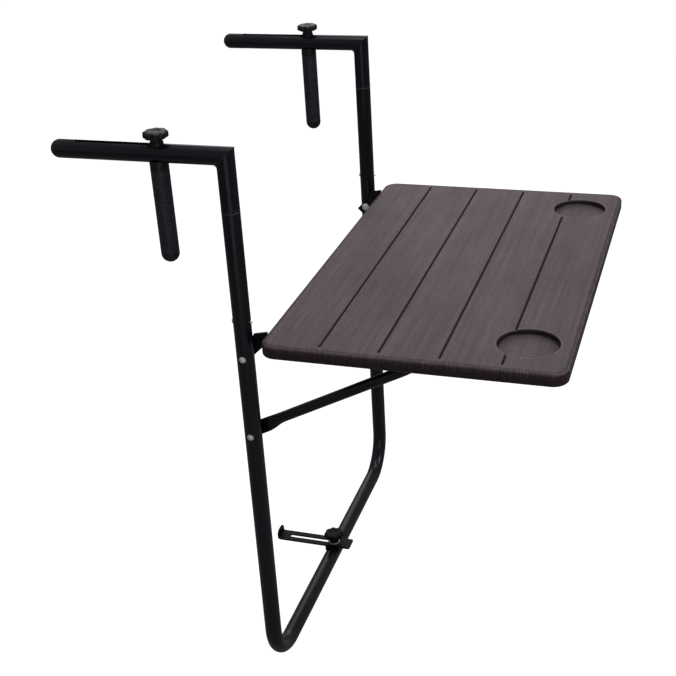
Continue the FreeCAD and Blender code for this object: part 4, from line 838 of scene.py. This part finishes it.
def top_relief(x, y):
    """Height of the upper face: the lower of the grooves and the cup recesses."""
    level = np.zeros_like(x)
    for groove in GROOVES:
        past_end = np.maximum(np.abs(x) - GROOVE_HALF, 0)
        away = np.hypot(past_end, y - groove)
        level = np.minimum(level, np.interp(away, GROOVE_OFFSETS, GROOVE_LEVELS))
    for sign in SIDES:
        away = np.hypot(x - sign * CUP_X, y - CUP_Y)
        level = np.minimum(level, np.interp(away, CUP_RADII, CUP_LEVELS))
    return level


def upper_face():
    """The flat face filled in between its outer line, the grooves and the recesses, then lowered to the relief."""
    lines = [rim_points(TOP_ROUND + 1.6, 0)[:, :2]]
    half_turn = np.linspace(-math.pi / 2, math.pi / 2, 9)
    for groove in GROOVES:
        for offset in GROOVE_OFFSETS[1:]:
            end = np.stack([GROOVE_HALF + offset * np.cos(half_turn), groove + offset * np.sin(half_turn)], 1)
            lines.append(np.concatenate([end, end[::-1] * (-1, 1)]))
    around = circle(120)
    for sign in SIDES:
        for radius in CUP_RADII[1:]:
            lines.append(np.stack([sign * CUP_X + radius * np.cos(around), CUP_Y + radius * np.sin(around)], 1))
    points, edges, start = [], [], 0
    for line in lines:
        number = np.arange(len(line)) + start
        edges += np.stack([number, np.roll(number, -1)], 1).tolist()
        points.append(line)
        start += len(line)
    for groove in GROOVES:
        points.append(np.array([(-GROOVE_HALF, groove), (GROOVE_HALF, groove)]))
        edges.append([start, start + 1])
        start += 2
    filled = delaunay_2d_cdt([Vector(p) for p in np.concatenate(points).tolist()], edges, [], 1, 1e-4)
    flat = np.array([tuple(v) for v in filled[0]])
    level = top_relief(flat[:, 0], flat[:, 1])
    return np.concatenate([flat, level[:, None]], 1), filled[2]


def rim():
    """The ribbed edge from shoulder to foot, and how far each of its points lies in a gap between ribs, which sets the
    painted shade there.
    """
    upright, foot_top = math.pi / 2, FOOT_ROUND - TOP_THICK
    rows = [(TOP_ROUND + 1.6, 0, 0, 0), (TOP_ROUND + 1.0, -0.3, 0, 0), (TOP_ROUND + 0.4, 0, 0.15, 0)]
    rows += [(TOP_ROUND * (1 - math.sin(a)), -TOP_ROUND * (1 - math.cos(a)), min(1.0, 0.6 + a), a)
             for a in np.linspace(0, upright, 8)]
    rows += [(0, -9.5, 0.9, upright), (0, foot_top, 0.7, upright)]
    rows += [(FOOT_ROUND * (1 - math.cos(a)), foot_top - FOOT_ROUND * math.sin(a), 0.5 - 0.3 * a, upright)
             for a in np.linspace(0, upright, 4)[1:]]
    rows += [(TOP_WALL, -TOP_THICK, 0, 0)]
    grid = np.stack([rim_points(*row) for row in rows])
    # How far each point lies in a rib gap, for the painted shade there; the shoulder line below the upper face's edge
    # takes a fixed share
    between = np.stack([min(1.0, 1.4 * depth) * RIM_GAPS for _, _, depth, _ in rows])
    between[1] = 0.4
    faces = skinned(grid)[1]
    x, y, z = grid.reshape(-1, 3)[faces].mean(1).T
    at_slot = (np.abs(np.abs(x) - PLATE_X) < SLOT_HALF) & (y > -TOP_CORNER / 2) & (z < SLOT_TOP - 0.3)
    return grid, faces[~at_slot], between.ravel()


def hollow_underside():
    """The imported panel's own faces below the skin: ribs, bosses, recess floors, rooms and slots for the plates."""
    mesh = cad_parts["tabletop_panel"].data
    mesh.calc_loop_triangles()
    points = np.zeros(len(mesh.vertices) * 3)
    mesh.vertices.foreach_get("co", points)
    points = points.reshape(-1, 3) / MM - (0, TOP_Y, TOP_Z)
    corners = np.zeros(len(mesh.loop_triangles) * 3, int)
    mesh.loop_triangles.foreach_get("vertices", corners)
    corners = corners.reshape(-1, 3)
    x, y, z = np.moveaxis(points[corners], -1, 0)
    beyond = np.stack([np.abs(x) - (TOP_HALF - TOP_CORNER), np.abs(y + TOP_DEPTH / 2) - (TOP_DEPTH / 2 - TOP_CORNER)])
    inset = TOP_CORNER - np.where((beyond > 0).all(0), np.hypot(*beyond), beyond.max(0))
    below = (z < SLOT_TOP).all(1)
    inside = (inset > TOP_WALL - 0.15).all(1) & below
    at_slot = (np.abs(np.abs(x) - PLATE_X) < SLOT_HALF + 0.05).all(1) & (y > -4).all(1) & below
    in_cup = ((np.hypot(np.abs(x) - CUP_X, y - CUP_Y) < CUP_R + 0.2) & (z > CUP_LEVELS[0] - 0.3)).all(1)
    foot = (inset < TOP_WALL + 0.02).all(1) & (z < 0.02 - TOP_THICK).all(1)
    return points, corners[(inside | at_slot) & ~in_cup & ~foot]


def make_tabletop():
    """The panel: upper face, ribbed rim and the hollow side with its ribs, as one piece."""
    upper, edge, under = upper_face(), rim(), hollow_underside()
    points, faces = joined([upper, edge[:2], under])
    skin, rest = np.zeros(len(upper[0])), np.zeros(len(under[0]))
    mesh = bpy.data.meshes.new("panel")
    mesh.from_pydata(((points + (0, TOP_Y, TOP_Z)) * MM).tolist(), [], faces)
    # The first attribute sets the painted shade between the ribs; the second marks the rim
    for name, on_edge in (("rib_gap_shade", edge[2]), ("on_rim", np.ones(len(edge[2])))):
        numbers = mesh.attributes.new(name, "FLOAT", "POINT").data
        numbers.foreach_set("value", np.concatenate([skin, on_edge, rest]))
    clean_faces(mesh, mesh, lambda shell: bmesh.ops.delete(
        shell, geom=[v for v in shell.verts if not v.link_faces], context="VERTS"), reach=4e-6)
    as_object("moulded_panel", mesh, "tabletop", tabletop_finish, ["tabletop_panel"])


make_tabletop()

# ---- Knobs ----


def fluted_grip(neck_height):
    """A neck that flares into a scalloped head with a rounded edge and a shallow dish on top."""
    radius, neck, top = KNOB_R, KNOB_NECK_R, neck_height + KNOB_HEAD
    profile = eased([
        (0, 0, 0), (neck, 0, 0.4), (neck * 0.96, neck_height * 0.8, 1.0), (neck * 1.08, neck_height + 0.1, 0.5),
        (radius - 1.3, neck_height + 0.3, 0.8), (radius, neck_height + 1.5, 0.8), (radius, top - 1.9, 1.0),
        (radius - 1.9, top - 0.25, 1.2), (radius * 0.52, top, 1.2), (radius * 0.40, top - 0.1, 0.8),
        (radius * 0.33, top - 0.85, 0.7), (0, top - 0.95, 0)], 6)
    turn = circle(KNOB_LOBES * 20)[None, :]
    out, height = profile[:, :1], profile[:, 1:]
    scallop = smooth_step(0.55, 0.95, out / radius) * KNOB_FLUTE * (0.5 + 0.5 * np.cos(KNOB_LOBES * turn)) ** 1.6
    reach = out - scallop
    return skinned(np.stack([reach * np.cos(turn), reach * np.sin(turn), height + 0 * turn], -1))


for side, sign in NAMED_SIDES:
    piece(f"clamp_grip_{side}", f"knob_{side}", knob_plastic,
          [moved(fluted_grip(CLAMP_NECK), (sign * LEG_X, CLAMP_Y, CLAMP_KNOB_Z))], [f"clamp_knob_{side}"])
# The hook knob takes the darker plastic as painted shade
piece("rail_hook_grip", "rail_hook_knob", painted_shade_hook_plastic,
      [moved(fluted_grip(HOOK_NECK), (0, LEG_Y, HOOK_KNOB_Z))], ["hook_knob"])

# ---- Pressed and moulded small parts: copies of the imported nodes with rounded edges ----

for side, _ in NAMED_SIDES:
    softened(f"hinge_bracket_{side}", f"hinge_plate_{side}", "tabletop", bracket_coat, 0.35)
    softened(f"brace_catch_{side}", f"brace_clip_{side}", "tabletop", cap_plastic)
    softened(f"post_plug_{side}", f"post_saddle_{side}", f"clamp_post_{side}", cap_plastic)
    softened(f"saddle_washer_{side}", f"arm_saddle_{side}", f"clamp_post_{side}", cap_plastic)
# The hook's strip and the foot saddle take the darker finishes as painted shade
softened("rail_hook_strip", "slotted_hook", "rail_hook", painted_shade_hook_paint)
softened("hook_saddle", "foot_saddle", "frame", painted_shade_hook_plastic)

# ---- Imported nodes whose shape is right: better finishes only ----

PAIRED = {"hook_tube": frame_coat, "arm_cap": cap_plastic, "post_cap": cap_plastic, "post_tube": post_coat,
          "clamp_nut": zinc_plate, "clamp_bolt": zinc_plate}
carried = {f"{node}_{side}": material for node, material in PAIRED.items() for side, _ in NAMED_SIDES}
carried |= dict.fromkeys(("hook_bolt", "hook_washer", "hook_knob_insert"), zinc_plate)
for node, material in carried.items():
    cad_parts[node].data.materials.clear()
    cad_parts[node].data.materials.append(material)

# ---- Floor, light and camera ----

FLOOR_R = 14  # metres
FLOOR_Z = -1.02
IMAGE_SIDE = 676  # pixels
FOCAL_LENGTH = 1215.161  # pixels
SENSOR = 36.0

# Soft square lamps: name, place, the point that they face, side length in metres and power in watts
LAMPS = (("overhead", (0.3, -0.3, 2.0), (0.0, -0.2, -0.3), 1.8, 21),
         ("far_side", (2.5, 0.6, 0.9), (0.0, -0.1, -0.2), 2.0, 11),
         ("front_side", (-0.25, -2.3, 1.55), (-0.1, -0.3, -0.3), 1.0, 16),
         ("camera_side", (-2.2, -0.8, -0.35), (-0.2, 0.0, -0.35), 1.3, 2.6))


def make_stage():
    """A wide floor that the camera sees as white; to all other rays it is grey and takes the lamps' light."""
    turn = circle(96)
    ring = np.stack([FLOOR_R * np.cos(turn), FLOOR_R * np.sin(turn), FLOOR_Z + 0 * turn], 1)
    mesh = bpy.data.meshes.new("floor")
    mesh.from_pydata(ring.tolist(), [], [list(range(len(turn)))])
    floor = bpy.data.objects.new("floor", mesh)
    bpy.context.scene.collection.objects.link(floor)
    material, graph, _, _, shader = new_material("pale_floor")
    shader.inputs["Base Color"].default_value = (0.30, 0.30, 0.30, 1)
    shader.inputs["Roughness"].default_value = 0.9
    seen = graph.add("ShaderNodeLightPath").outputs
    shader.inputs["Emission Color"].default_value = (0.95, 0.95, 0.95, 1)
    graph.link(seen["Is Camera Ray"], shader.inputs["Emission Strength"])
    mesh.materials.append(material)


def make_world():
    """Even soft light from all round; the camera sees it as white."""
    world = bpy.data.worlds.new("studio")
    bpy.context.scene.world = world
    world.use_nodes = True
    world.node_tree.nodes.clear()
    graph = Graph(world.node_tree)
    seen = graph.add("ShaderNodeLightPath").outputs
    light = graph.add("ShaderNodeBackground", {"Color": (1, 1, 1, 1), "Strength": 0.21})
    backdrop = graph.add("ShaderNodeBackground", {"Color": (1, 1, 1, 1), "Strength": 1.0})
    both = graph.add("ShaderNodeMixShader", {0: seen["Is Camera Ray"], 1: light.outputs[0], 2: backdrop.outputs[0]})
    graph.add("ShaderNodeOutputWorld", {"Surface": both.outputs[0]})


def soft_box(name, place, aim, size, power):
    """A square lamp at a place, facing a point."""
    lamp = bpy.data.lights.new(name, "AREA")
    lamp.shape = "SQUARE"
    lamp.size = size
    lamp.energy = power
    thing = bpy.data.objects.new(name, lamp)
    bpy.context.scene.collection.objects.link(thing)
    thing.location = place
    thing.rotation_euler = (Vector(aim) - Vector(place)).to_track_quat("-Z", "Y").to_euler()


def make_camera():
    """The photograph's viewpoint: place, the image's right, down and forward directions, and its angle of view."""
    camera = bpy.data.cameras.new("camera")
    camera.sensor_width = SENSOR
    camera.lens = SENSOR * FOCAL_LENGTH / IMAGE_SIDE
    camera.clip_end = 60
    thing = bpy.data.objects.new("camera", camera)
    bpy.context.scene.collection.objects.link(thing)
    right = Vector((0.30280354, -0.95138585, -0.05634695))
    down = Vector((-0.44377851, -0.08842846, -0.89176288))
    forward = Vector((0.84342791, 0.29503453, -0.44898105))
    turn = Matrix((right, -down, -forward)).transposed().to_4x4()
    thing.matrix_world = Matrix.Translation((-1.5261595, -0.5739208, 0.4514220)) @ turn
    bpy.context.scene.camera = thing


make_stage()
make_world()
for lamp in LAMPS:
    soft_box(*lamp)
make_camera()
bpy.context.scene.view_settings.view_transform = "Standard"
